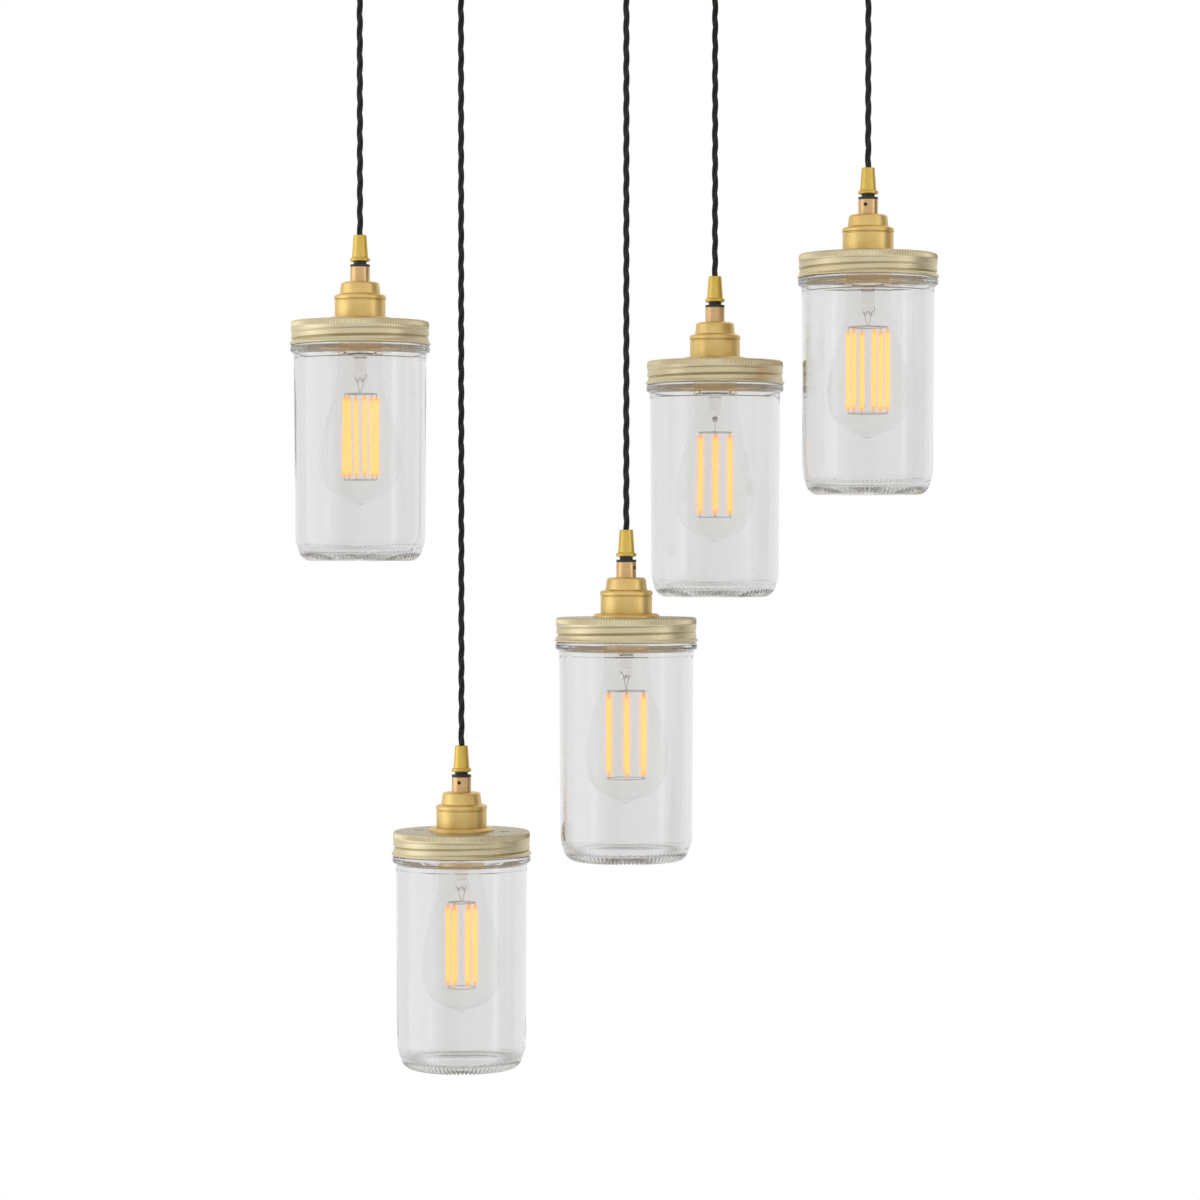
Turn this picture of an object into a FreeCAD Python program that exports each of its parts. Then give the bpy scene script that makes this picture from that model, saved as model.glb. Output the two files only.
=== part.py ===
import FreeCAD, Part
import math
import os
import Sketcher

# A ceiling light of five jars on cords. Millimetres, +Z up, and the ceiling is the plane z = 0.
# A pendant's pieces are drawn in a frame of their own: the cord is on the Z axis, z = 0 on top of the lid.

PENDANTS = (1, 2, 3, 4, 5)

SIZES = {
    # where each pendant hangs, its free cord, and the way its set screw faces in degrees from the front
    "place_x_1": -200, "place_y_1": 0, "cord_free_1": 203, "facing_1": 165,
    "place_x_2": -121, "place_y_2": 18, "cord_free_2": 607, "facing_2": -12,
    "place_x_3": 9.7, "place_y_3": -48, "cord_free_3": 435.5, "facing_3": 56,
    "place_x_4": 81.5, "place_y_4": 42, "cord_free_4": 232, "facing_4": 88,
    "place_x_5": 200, "place_y_5": -10, "cord_free_5": 151, "facing_5": -20,
    # canopy on the ceiling
    "canopy_depth": 28, "canopy_wall": 1.5, "canopy_corner": 20, "canopy_edge": 3,
    "canopy_end": 50, "canopy_side": 22,
    "bracket_width": 30, "bracket_thick": 2, "bracket_gap": 8, "screw_spacing": 220, "screw_hole": 2.6,
    "stud_radius": 2, "stud_inset": 24, "stud_end": 5, "stud_fit": 0.15,
    "dome_radius": 6, "dome_height": 8, "dome_round": 5,
    "block_length": 60, "block_width": 22, "block_height": 16,
    "block_screw": 2, "block_pitch": 20, "block_row": 11,
    "outlet_shank": 5, "outlet_fit": 0.15, "outlet_end": 2, "locknut_across": 17, "locknut_height": 4,
    # cord and gland
    "cord_diameter": 5.2, "cord_fit": 0.1, "sway_room": 0.7, "cord_in_outlet": 3,
    "grip_flange": 3.6, "grip_flange_edge": 1, "grip_proud": 0.15, "grip_cone": 17.4,
    "cone_wall_low": 3.65, "cone_wall_top": 2.45, "shank_wall": 1.3, "shank_length": 7,
    "bush_neck": 2.2, "bush_flange": 1.8, "bush_fit": 0.1, "bush_wall": 1.05, "bush_step": 0.35,
    "bush_spigot": 6,
    "sleeve_height": 12, "sleeve_wall": 2.15, "nipple_step": 2.75, "nipple_wall": 1.5,
    "nipple_length": 4, "nipple_fit": 0.1, "set_screw_hole": 1.5, "set_screw_drop": 4.3,
    # lampholder
    "cap_wall": 1.5, "cap_height": 10, "cap_taper": 0.65, "cap_edge": 2, "cap_step_in": 0.4,
    "lip_height": 4, "lip_proud": 0.5, "lip_edge": 1.4, "spigot_length": 5, "spigot_fit": 0.15,
    "skirt_below": 23, "skirt_wall": 2, "skirt_step": 2, "skirt_edge": 0.6,
    "ring_height": 3, "ring_lip": 6, "ring_bevel": 2, "ring_rim": 1.2, "ring_fit": 0.15,
    "ring_nut_height": 8, "ring_nut_wall": 6,
    "insert_wall": 2.3, "insert_fit": 0.2, "insert_recess": 2, "insert_roof": 5,
    "socket_fit": 0.3, "socket_room": 2,
    # bulb
    "bulb_cap_radius": 13.2, "bulb_cap_wall": 0.8, "bulb_cap_height": 22, "bulb_cap_tuck": 1,
    "bulb_cap_edge": 1.5, "bulb_cap_cement": 13,
    "contact_radius": 5, "contact_rise": 5, "contact_height": 2, "contact_edge": 1,
    "bulb_fit": 0.2, "bulb_wall": 1,
    "bulb_neck_radius": 17.6, "bulb_neck_drop": 3.2, "bulb_neck_edge": 2.5,
    "bulb_neck_length": 24.5, "bulb_neck_flare": 1.4, "bulb_neck_round": 120,
    "bulb_belly": 32.9, "bulb_belly_height": 45, "bulb_belly_round": 90,
    "bulb_foot_in": 2.9, "bulb_foot_round": 27,
    "stem_radius": 4.75, "stem_length": 21, "stem_edge": 1.5,
    "lead_drop": 9, "lead_radius": 0.4, "lead_hub": 2, "lead_hub_height": 1.5,
    "filament_length": 66, "filament_radius": 1.1, "filament_ring": 13.4, "filament_wire": 0.5,
    "filament_room": 19,
    # jar
    "glass_wall": 3.3, "bulb_side_room": 15, "bulb_low_room": 39.5, "jar_floor": 7, "jar_taper": 1.1,
    "jar_corner": 17, "jar_foot": 5, "jar_push_up": 4, "jar_rim_edge": 1.2, "jar_shoulder": 1.5,
    "bead_height": 4.8, "bead_proud": 2.2, "bead_edge": 1.7, "bead_gap": 0.4, "seal_gap": 0.3,
    "thread_ridge": 1.2, "thread_crest": 0.4,
    # lid
    "lid_wall": 0.8, "lid_height": 19, "lid_edge": 2.8, "lid_overhang": 2.2, "lid_band": 6,
    "lid_groove": 0.9, "lid_ridge": 0.5, "lid_ridge_edge": 1.2, "lid_curl": 0.8, "lid_curl_height": 2.6,
    "lid_curl_edge": 0.7, "lid_room": 1.2, "vent_radius": 4, "vent_offset": 35,
}


def of_all(function, name):
    """A formula for the least or greatest of one size over all the pendants."""
    return f"{function}({'; '.join(f'sizes.{name}_{pendant}' for pendant in PENDANTS)})"


# sizes and heights that follow from the ones above
PLACES = {
    # cord and gland, from the cord outwards
    "cord_radius": "sizes.cord_diameter / 2",
    "grip_bore": "cord_radius + sizes.cord_fit",
    "outlet_bore": "cord_radius + sizes.sway_room",
    "shank_radius": "grip_bore + sizes.shank_wall",
    "cone_low": "grip_bore + sizes.cone_wall_low",
    "cone_top": "grip_bore + sizes.cone_wall_top",
    "bush_bore": "shank_radius + sizes.bush_fit",
    "bush_neck_radius": "bush_bore + sizes.bush_wall",
    "bush_spigot_radius": "bush_neck_radius + sizes.bush_step",
    "sleeve_bore": "bush_spigot_radius + sizes.bush_fit",
    "sleeve_radius": "sleeve_bore + sizes.sleeve_wall",
    "nipple_radius": "sleeve_radius - sizes.nipple_step",
    "nipple_hole": "nipple_radius + sizes.nipple_fit",
    "grip_flange_radius": "sleeve_radius + sizes.grip_proud",
    # lampholder, from the bulb's cap outwards
    "socket_bore": "sizes.bulb_cap_radius + sizes.socket_fit",
    "insert_radius": "socket_bore + sizes.insert_wall",
    "skirt_bore": "insert_radius + sizes.insert_fit",
    "skirt_thread": "skirt_bore + sizes.skirt_wall",
    "skirt_radius": "skirt_thread + sizes.skirt_step",
    "ring_bore": "skirt_thread + sizes.ring_fit",
    "ring_radius": "skirt_radius + sizes.ring_lip",
    "ring_nut_radius": "ring_bore + sizes.ring_nut_wall",
    "spigot_radius": "skirt_bore - sizes.spigot_fit",
    "cap_radius": "skirt_bore - sizes.cap_step_in",
    "lip_radius": "skirt_radius + sizes.lip_proud",
    # heights above the lid, from the bulb's cap upwards
    "bulb_cap_rim": "sizes.bulb_cap_tuck - sizes.skirt_below",
    "bulb_cap_shoulder": "bulb_cap_rim + sizes.bulb_cap_height",
    "contact_top": "bulb_cap_shoulder + sizes.contact_rise",
    "cement_top": "bulb_cap_rim + sizes.bulb_cap_cement",
    "socket_top": "contact_top + sizes.socket_room",
    "insert_top": "socket_top + sizes.insert_roof",
    "insert_low": "sizes.insert_recess - sizes.skirt_below",
    "lip_low": "insert_top + sizes.spigot_length",
    "lip_top": "lip_low + sizes.lip_height",
    "cap_top": "lip_top + sizes.cap_height",
    "sleeve_top": "cap_top + sizes.sleeve_height",
    "bush_shoulder": "sleeve_top + sizes.bush_flange",
    "bush_top": "bush_shoulder + sizes.bush_neck",
    "grip_shoulder": "bush_top + sizes.grip_flange",
    "grip_top": "grip_shoulder + sizes.grip_cone",
    # bulb, downwards
    "bulb_collar": "bulb_cap_rim - sizes.bulb_fit",
    "bulb_plug_top": "cement_top - sizes.bulb_fit",
    "bulb_plug": "sizes.bulb_cap_radius - sizes.bulb_cap_wall - sizes.bulb_fit",
    "bulb_neck_top": "bulb_collar - sizes.bulb_neck_drop",
    "bulb_neck_low": "bulb_neck_top - sizes.bulb_neck_length",
    "bulb_neck_out": "sizes.bulb_neck_radius + sizes.bulb_neck_flare",
    "bulb_inside_top": "bulb_neck_top - sizes.bulb_wall",
    "stem_tip": "bulb_inside_top - sizes.stem_length",
    "lead_top": "stem_tip - sizes.lead_hub_height / 2",
    "filament_top": "stem_tip - sizes.lead_drop",
    "filament_low": "filament_top - sizes.filament_length",
    "bulb_inside_low": "filament_low - sizes.filament_room",
    "bulb_low": "bulb_inside_low - sizes.bulb_wall",
    "bulb_belly_z": "bulb_low + sizes.bulb_belly_height",
    "bulb_foot": "sizes.bulb_belly - sizes.bulb_foot_in",
    # jar and lid, from the bulb outwards and downwards
    "jar_floor_top": "bulb_low - sizes.bulb_low_room",
    "jar_low": "jar_floor_top - sizes.jar_floor",
    "jar_inside_low": "sizes.bulb_belly + sizes.bulb_side_room",
    "jar_radius_low": "jar_inside_low + sizes.glass_wall",
    "jar_radius_top": "jar_radius_low + sizes.jar_taper",
    "jar_inside_top": "jar_radius_top - sizes.glass_wall",
    "lid_radius": "jar_radius_top + sizes.lid_overhang",
    "lid_groove_radius": "lid_radius - sizes.lid_groove",
    "lid_ridge_radius": "lid_radius + sizes.lid_ridge",
    "lid_curl_radius": "lid_radius + sizes.lid_curl",
    "lid_inside": "lid_groove_radius - sizes.lid_wall",
    "lid_curl_top": "sizes.lid_curl_height - sizes.lid_height",
    "lid_wave": "(sizes.lid_height - sizes.lid_band - sizes.lid_curl_height) / 2",
    "ridge_z_1": "-sizes.lid_band - lid_wave / 2",
    "ridge_z_2": "ridge_z_1 - lid_wave",
    "jar_rim": "-sizes.lid_wall - sizes.seal_gap",
    "jar_thread": "lid_inside - sizes.lid_room",
    "jar_neck": "jar_thread - sizes.thread_ridge",
    "jar_mouth": "jar_neck - sizes.glass_wall",
    "bead_top": "-sizes.lid_height - sizes.bead_gap",
    "bead_low": "bead_top - sizes.bead_height",
    "bead_radius": "lid_radius + sizes.bead_proud",
    # canopy, and what hangs from it
    "canopy_left": of_all("min", "place_x") + " - sizes.canopy_end",
    "canopy_right": of_all("max", "place_x") + " + sizes.canopy_end",
    "canopy_front": of_all("min", "place_y") + " - sizes.canopy_side",
    "canopy_back": of_all("max", "place_y") + " + sizes.canopy_side",
    "canopy_inside_depth": "sizes.canopy_depth - sizes.canopy_wall",
    "stud_left": "canopy_left + sizes.stud_inset",
    "stud_right": "canopy_right - sizes.stud_inset",
    "stud_hole": "sizes.stud_radius + sizes.stud_fit",
    "dome_bore_end": "-sizes.stud_end - sizes.stud_fit",
    "outlet_hole": "sizes.outlet_shank + sizes.outlet_fit",
    "outlet_top": "sizes.canopy_wall + sizes.locknut_height + sizes.outlet_end",
    "outlet_low": "-sizes.grip_flange - sizes.grip_cone",
    "outlet_mouth": "outlet_low - sizes.canopy_depth",
}
for pendant in PENDANTS:
    PLACES[f"lid_top_{pendant}"] = f"outlet_mouth - sizes.cord_free_{pendant} - grip_top"

doc = FreeCAD.newDocument("jar_cluster_pendant")


def fill_sheet(name, cells):
    """A spreadsheet with one named cell in each row."""
    new_sheet = doc.addObject("Spreadsheet::Sheet", name)
    for row, (alias, text) in enumerate(cells.items(), start=1):
        new_sheet.set(f"A{row}", alias)
        new_sheet.set(f"B{row}", text)
        new_sheet.setAlias(f"B{row}", alias)
    return new_sheet


sizes = fill_sheet("sizes", {alias: str(number) for alias, number in SIZES.items()})
fill_sheet("places", {alias: "=" + formula for alias, formula in PLACES.items()})
doc.recompute()


def value(expression):
    """The number that an expression of the two sheets comes to."""
    return float(sizes.evalExpression(expression))


def bind(thing, expressions):
    """Ties properties of an object to the sheets."""
    for name, expression in expressions.items():
        thing.setExpression(name, expression)


def new_sketch(body, name, plane):
    """An empty sketch on one of the body's own origin planes."""
    sketch = body.newObject("Sketcher::SketchObject", name)
    support = next(item for item in body.Origin.OriginFeatures if item.Role == plane)
    sketch.AttachmentSupport = (support, [""])
    sketch.MapMode = "FlatFace"
    return sketch


def measure(sketch, kind, expression, *where):
    """A dimension of the sketch, tied to the sheets."""
    rule = sketch.addConstraint(Sketcher.Constraint(kind, *where, value(expression)))
    sketch.setExpression(f"Constraints[{rule}]", expression)


def pin_point(sketch, geometry, point, across, up):
    """Sets a point's distances from the sketch's origin."""
    measure(sketch, "DistanceX", across, -1, 1, geometry, point)
    measure(sketch, "DistanceY", up, -1, 1, geometry, point)


def rounded_corner(before, corner, after, radius):
    """Where a rounding begins and ends on the sides of a corner, its arc, and if the outline turns left."""
    back = (before - corner).normalize()
    ahead = (after - corner).normalize()
    half_angle = back.getAngle(ahead) / 2
    start = corner + back * (radius / math.tan(half_angle))
    end = corner + ahead * (radius / math.tan(half_angle))
    middle = corner + (back + ahead).normalize() * (radius / math.sin(half_angle))
    left = back.cross(ahead).z < 0
    first, last = (start - middle, end - middle) if left else (end - middle, start - middle)
    angle = math.atan2(first.y, first.x)
    sweep = (math.atan2(last.y, last.x) - angle) % (2 * math.pi)
    circle = Part.Circle(middle, FreeCAD.Vector(0, 0, 1), radius)
    return start, end, Part.ArcOfCircle(circle, angle, angle + sweep), left


def outline(body, name, plane, corners):
    """A closed outline through corners given as (across, up) or (across, up, rounding) expressions."""
    sketch = new_sketch(body, name, plane)
    count = len(corners)
    spots = [FreeCAD.Vector(value(corner[0]), value(corner[1]), 0) for corner in corners]
    run_starts = list(spots)
    run_ends = list(spots)
    arcs = {}
    for i, corner in enumerate(corners):
        if len(corner) == 3:
            run_ends[i], run_starts[i], arc, left = rounded_corner(
                spots[i - 1], spots[i], spots[(i + 1) % count], value(corner[2]))
            arcs[i] = (arc, left)
    for i in range(count):
        sketch.addGeometry(Part.LineSegment(run_starts[i], run_ends[(i + 1) % count]))
    for i, corner in enumerate(corners):
        run_in = (i - 1) % count
        if i not in arcs:
            sketch.addConstraint(Sketcher.Constraint("Coincident", run_in, 2, i, 1))
            pin_point(sketch, i, 1, corner[0], corner[1])
            continue
        arc, left = arcs[i]
        bend = sketch.addGeometry(arc)
        apex = sketch.addGeometry(Part.Point(spots[i]), True)
        bend_in, bend_out = (1, 2) if left else (2, 1)
        sketch.addConstraint(Sketcher.Constraint("Tangent", run_in, 2, bend, bend_in))
        sketch.addConstraint(Sketcher.Constraint("Tangent", i, 1, bend, bend_out))
        measure(sketch, "Radius", corner[2], bend)
        sketch.addConstraint(Sketcher.Constraint("PointOnObject", apex, 1, run_in))
        sketch.addConstraint(Sketcher.Constraint("PointOnObject", apex, 1, i))
        pin_point(sketch, apex, 1, corner[0], corner[1])
    return sketch


def circles(body, name, plane, centres, radius):
    """A sketch of equal circles at centres given as (across, up) expressions."""
    sketch = new_sketch(body, name, plane)
    for across, up in centres:
        middle = FreeCAD.Vector(value(across), value(up), 0)
        circle = sketch.addGeometry(Part.Circle(middle, FreeCAD.Vector(0, 0, 1), value(radius)))
        measure(sketch, "Radius", radius, circle)
        pin_point(sketch, circle, 3, across, up)
    return sketch


def rectangle(left, right, front, back, *rounding):
    """The four corners of a rectangle, for an outline."""
    return [(left, front, *rounding), (right, front, *rounding),
            (right, back, *rounding), (left, back, *rounding)]


def new_body(name):
    """An empty body, which names its file if it is a sub-part."""
    return doc.addObject("PartDesign::Body", name)


def pad(body, sketch, length, downwards=False):
    """Thickens a sketch into a solid."""
    made = body.newObject("PartDesign::Pad", sketch.Name + "_pad")
    made.Profile = sketch
    made.Reversed = downwards
    bind(made, {"Length": length})
    return made


def cut(body, sketch, depth, flipped=False):
    """A pocket of a given depth, which has to take material away."""
    doc.recompute()
    before = body.Shape.Volume
    made = body.newObject("PartDesign::Pocket", sketch.Name + "_pocket")
    made.Profile = sketch
    made.Reversed = flipped
    bind(made, {"Length": depth})
    doc.recompute()
    if body.Shape.Volume >= before:
        raise ValueError(f"{made.Name} cuts nothing")


def turn(body, kind, name, corners):
    """Adds or takes away a full turn about the body's Z axis, from half its section."""
    half = outline(body, name, "XZ_Plane", corners)
    made = body.newObject(f"PartDesign::{kind}", name + "_turn")
    made.Profile = half
    made.ReferenceAxis = (half, ["V_Axis"])
    made.Angle = 360


def turned(name, corners):
    """A body that is one solid of revolution."""
    body = new_body(name)
    turn(body, "Revolution", name + "_half", corners)
    return body


def copy_at(name, pieces, across, along, up, facing="0"):
    """A copy of some pieces at a place, turned about the upright axis."""
    copy = doc.addObject("Part::Compound", name)
    copy.Links = pieces
    copy.Placement.Rotation = FreeCAD.Rotation(FreeCAD.Vector(0, 0, 1), value(facing))
    bind(copy, {"Placement.Base.x": across, "Placement.Base.y": along, "Placement.Base.z": up,
                "Placement.Rotation.Angle": facing})
    return copy


def make_canopy_cover():
    """The pan on the ceiling: open at its top, with five outlets and two stud holes in its floor."""
    body = new_body("canopy_cover")
    outside = rectangle("places.canopy_left", "places.canopy_right", "places.canopy_front",
                        "places.canopy_back", "sizes.canopy_corner")
    block = pad(body, outline(body, "canopy_outside", "XY_Plane", outside), "sizes.canopy_depth", True)
    doc.recompute()
    lowest = min(range(len(block.Shape.Faces)), key=lambda i: block.Shape.Faces[i].CenterOfMass.z)
    edge = body.newObject("PartDesign::Fillet", "canopy_floor_edge")
    edge.Base = (block, [f"Face{lowest + 1}"])
    bind(edge, {"Radius": "sizes.canopy_edge"})
    inside = rectangle("places.canopy_left + sizes.canopy_wall", "places.canopy_right - sizes.canopy_wall",
                       "places.canopy_front + sizes.canopy_wall", "places.canopy_back - sizes.canopy_wall",
                       "sizes.canopy_corner - sizes.canopy_wall")
    cut(body, outline(body, "canopy_inside", "XY_Plane", inside), "places.canopy_inside_depth")
    outlets = [(f"sizes.place_x_{i}", f"sizes.place_y_{i}") for i in PENDANTS]
    cut(body, circles(body, "canopy_outlets", "XY_Plane", outlets, "places.outlet_hole"), "sizes.canopy_depth")
    studs = [("places.stud_left", "0"), ("places.stud_right", "0")]
    cut(body, circles(body, "canopy_stud_holes", "XY_Plane", studs, "places.stud_hole"), "sizes.canopy_depth")
    return body


def make_ceiling_bracket():
    """The strip against the ceiling: two screw holes, and two studs that reach through the cover."""
    body = new_body("ceiling_bracket")
    strip = rectangle("places.canopy_left + sizes.canopy_wall + sizes.bracket_gap",
                      "places.canopy_right - sizes.canopy_wall - sizes.bracket_gap",
                      "-sizes.bracket_width / 2", "sizes.bracket_width / 2")
    pad(body, outline(body, "bracket_strip", "XY_Plane", strip), "sizes.bracket_thick", True)
    holes = [("-sizes.screw_spacing / 2", "0"), ("sizes.screw_spacing / 2", "0")]
    cut(body, circles(body, "bracket_screws", "XY_Plane", holes, "sizes.screw_hole"), "sizes.bracket_thick")
    studs = [("places.stud_left", "0"), ("places.stud_right", "0")]
    pad(body, circles(body, "bracket_studs", "XY_Plane", studs, "sizes.stud_radius"),
        "sizes.canopy_depth + sizes.stud_end", True)
    return body


def make_cover_nuts():
    """Two domed nuts on the studs, with their flat sides against the floor of the cover."""
    nut = turned("cover_nut", [
        ("places.stud_hole", "0"),
        ("sizes.dome_radius", "0"),
        ("sizes.dome_radius", "-sizes.dome_height", "sizes.dome_round"),
        ("0", "-sizes.dome_height"),
        ("0", "places.dome_bore_end"),
        ("places.stud_hole", "places.dome_bore_end"),
    ])
    pair = [copy_at(f"cover_nut_{side}", [nut], f"places.stud_{side}", "0", "-sizes.canopy_depth")
            for side in ("left", "right")]
    return copy_at("cover_nuts", pair, "0", "0", "0")


def make_terminal_block():
    """The block under the bracket that joins the leads, with two rows of clamp screw wells."""
    body = new_body("terminal_block")
    base = rectangle("-sizes.block_length / 2", "sizes.block_length / 2",
                     "-sizes.block_width / 2", "sizes.block_width / 2")
    pad(body, outline(body, "block_base", "XY_Plane", base), "sizes.block_height", True)
    wells = [(f"{column} * sizes.block_pitch", f"{row} * sizes.block_row / 2")
             for column in (-1, 0, 1) for row in (-1, 1)]
    cut(body, circles(body, "block_wells", "XY_Plane", wells, "sizes.block_screw"), "sizes.block_height")
    bind(body, {"Placement.Base.z": "-sizes.bracket_thick"})
    return body


def make_outlet_grips():
    """Five cord grips under the floor of the cover, each with its lock nut inside."""
    grip = turned("outlet_grip", [
        ("places.outlet_bore", "places.outlet_top"),
        ("sizes.outlet_shank", "places.outlet_top"),
        ("sizes.outlet_shank", "0"),
        ("places.grip_flange_radius", "0"),
        ("places.grip_flange_radius", "-sizes.grip_flange", "sizes.grip_flange_edge"),
        ("places.cone_low", "-sizes.grip_flange"),
        ("places.cone_top", "places.outlet_low"),
        ("places.outlet_bore", "places.outlet_low"),
    ])
    locknut = new_body("outlet_locknut")
    sides = 6
    corner = f"sizes.locknut_across / 2 / cos({180 / sides})"
    hexagon = [(f"{corner} * cos({360 * i / sides})", f"{corner} * sin({360 * i / sides})")
               for i in range(sides)]
    pad(locknut, outline(locknut, "locknut_hexagon", "XY_Plane", hexagon), "sizes.locknut_height")
    bore = circles(locknut, "locknut_bore", "XY_Plane", [("0", "0")], "places.outlet_hole")
    cut(locknut, bore, "sizes.locknut_height", True)
    bind(locknut, {"Placement.Base.z": "sizes.canopy_wall"})
    five = [copy_at(f"outlet_grip_{i}", [grip, locknut], f"sizes.place_x_{i}", f"sizes.place_y_{i}",
                    "-sizes.canopy_depth") for i in PENDANTS]
    return copy_at("outlet_grips", five, "0", "0", "0")


def make_cord(pendant):
    """One straight cord, from inside its outlet to the foot of the cone of its grip."""
    cord = doc.addObject("Part::Cylinder", f"cord_{pendant}")
    bind(cord, {
        "Radius": "places.cord_radius",
        "Height": f"sizes.cord_in_outlet + sizes.cord_free_{pendant} + sizes.grip_cone",
        "Placement.Base.x": f"sizes.place_x_{pendant}",
        "Placement.Base.y": f"sizes.place_y_{pendant}",
        "Placement.Base.z": f"places.lid_top_{pendant} + places.grip_shoulder",
    })
    return cord


def make_cord_grip():
    """The brass cone that holds the cord, with a shank down into the bush."""
    return turned("cord_grip", [
        ("places.grip_bore", "places.bush_top - sizes.shank_length"),
        ("places.shank_radius", "places.bush_top - sizes.shank_length"),
        ("places.shank_radius", "places.bush_top"),
        ("places.grip_flange_radius", "places.bush_top"),
        ("places.grip_flange_radius", "places.grip_shoulder", "sizes.grip_flange_edge"),
        ("places.cone_low", "places.grip_shoulder"),
        ("places.cone_top", "places.grip_top"),
        ("places.grip_bore", "places.grip_top"),
    ])


def make_grip_bush():
    """The black insulating bush: a neck, a flange on the sleeve and a spigot inside it."""
    return turned("grip_bush", [
        ("places.bush_bore", "places.sleeve_top - sizes.bush_spigot"),
        ("places.bush_spigot_radius", "places.sleeve_top - sizes.bush_spigot"),
        ("places.bush_spigot_radius", "places.sleeve_top"),
        ("places.sleeve_radius", "places.sleeve_top"),
        ("places.sleeve_radius", "places.bush_shoulder"),
        ("places.bush_neck_radius", "places.bush_shoulder"),
        ("places.bush_neck_radius", "places.bush_top"),
        ("places.bush_bore", "places.bush_top"),
    ])


def make_entry_sleeve():
    """The tube on the lampholder: a nipple through the cap, and a set screw hole in its front."""
    body = turned("entry_sleeve", [
        ("places.nipple_radius - sizes.nipple_wall", "places.cap_top - sizes.nipple_length"),
        ("places.nipple_radius", "places.cap_top - sizes.nipple_length"),
        ("places.nipple_radius", "places.cap_top"),
        ("places.sleeve_radius", "places.cap_top"),
        ("places.sleeve_radius", "places.sleeve_top"),
        ("places.sleeve_bore", "places.sleeve_top"),
        ("places.sleeve_bore", "places.cap_top + sizes.nipple_wall"),
        ("places.nipple_radius - sizes.nipple_wall", "places.cap_top + sizes.nipple_wall"),
    ])
    hole = circles(body, "set_screw", "XZ_Plane", [("0", "places.sleeve_top - sizes.set_screw_drop")],
                   "sizes.set_screw_hole")
    cut(body, hole, "places.sleeve_radius", True)
    return body


def make_holder_cap():
    """The stepped top of the lampholder, with a spigot that screws into the skirt."""
    inside = "places.cap_radius - sizes.cap_wall"
    return turned("holder_cap", [
        ("places.nipple_hole", "places.cap_top"),
        ("places.cap_radius - sizes.cap_taper", "places.cap_top", "sizes.cap_edge"),
        ("places.cap_radius", "places.lip_top"),
        ("places.lip_radius", "places.lip_top", "sizes.lip_edge"),
        ("places.lip_radius", "places.lip_low", "sizes.lip_edge"),
        ("places.spigot_radius", "places.lip_low"),
        ("places.spigot_radius", "places.insert_top"),
        (inside, "places.insert_top"),
        (inside + " - sizes.cap_taper", "places.cap_top - sizes.cap_wall"),
        ("places.nipple_hole", "places.cap_top - sizes.cap_wall"),
    ])


def make_holder_skirt():
    """The barrel of the lampholder: a shoulder on the upper ring and a thread down through the lid."""
    return turned("holder_skirt", [
        ("places.skirt_bore", "places.lip_low"),
        ("places.skirt_radius", "places.lip_low"),
        ("places.skirt_radius", "sizes.ring_height"),
        ("places.skirt_thread", "sizes.ring_height"),
        ("places.skirt_thread", "-sizes.skirt_below", "sizes.skirt_edge"),
        ("places.skirt_bore", "-sizes.skirt_below"),
    ])


def make_upper_ring():
    """The bevelled ring on top of the lid."""
    return turned("upper_ring", [
        ("places.ring_bore", "0"),
        ("places.ring_radius", "0"),
        ("places.ring_radius", "sizes.ring_rim"),
        ("places.ring_radius - sizes.ring_bevel", "sizes.ring_height"),
        ("places.ring_bore", "sizes.ring_height"),
    ])


def make_ring_nut():
    """The ring nut that clamps the lid from below."""
    low = "-sizes.lid_wall - sizes.ring_nut_height"
    return turned("ring_nut", [
        ("places.ring_bore", "-sizes.lid_wall"),
        ("places.ring_nut_radius", "-sizes.lid_wall"),
        ("places.ring_nut_radius", low),
        ("places.ring_bore", low),
    ])


def make_socket_insert():
    """The insulating core of the lampholder, with the socket for the bulb's cap."""
    return turned("socket_insert", [
        ("0", "places.insert_top"),
        ("places.insert_radius", "places.insert_top"),
        ("places.insert_radius", "places.insert_low"),
        ("places.socket_bore", "places.insert_low"),
        ("places.socket_bore", "places.socket_top"),
        ("0", "places.socket_top"),
    ])


def make_bulb_cap():
    """The screw cap of the bulb, with its contact on top and room for the neck of the glass below."""
    inside = "sizes.bulb_cap_radius - sizes.bulb_cap_wall"
    return turned("bulb_cap", [
        ("0", "places.contact_top"),
        ("sizes.contact_radius", "places.contact_top", "sizes.contact_edge"),
        ("sizes.contact_radius", "places.contact_top - sizes.contact_height"),
        ("sizes.bulb_cap_radius", "places.bulb_cap_shoulder", "sizes.bulb_cap_edge"),
        ("sizes.bulb_cap_radius", "places.bulb_cap_rim"),
        (inside, "places.bulb_cap_rim"),
        (inside, "places.cement_top"),
        ("0", "places.cement_top"),
    ])


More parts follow.
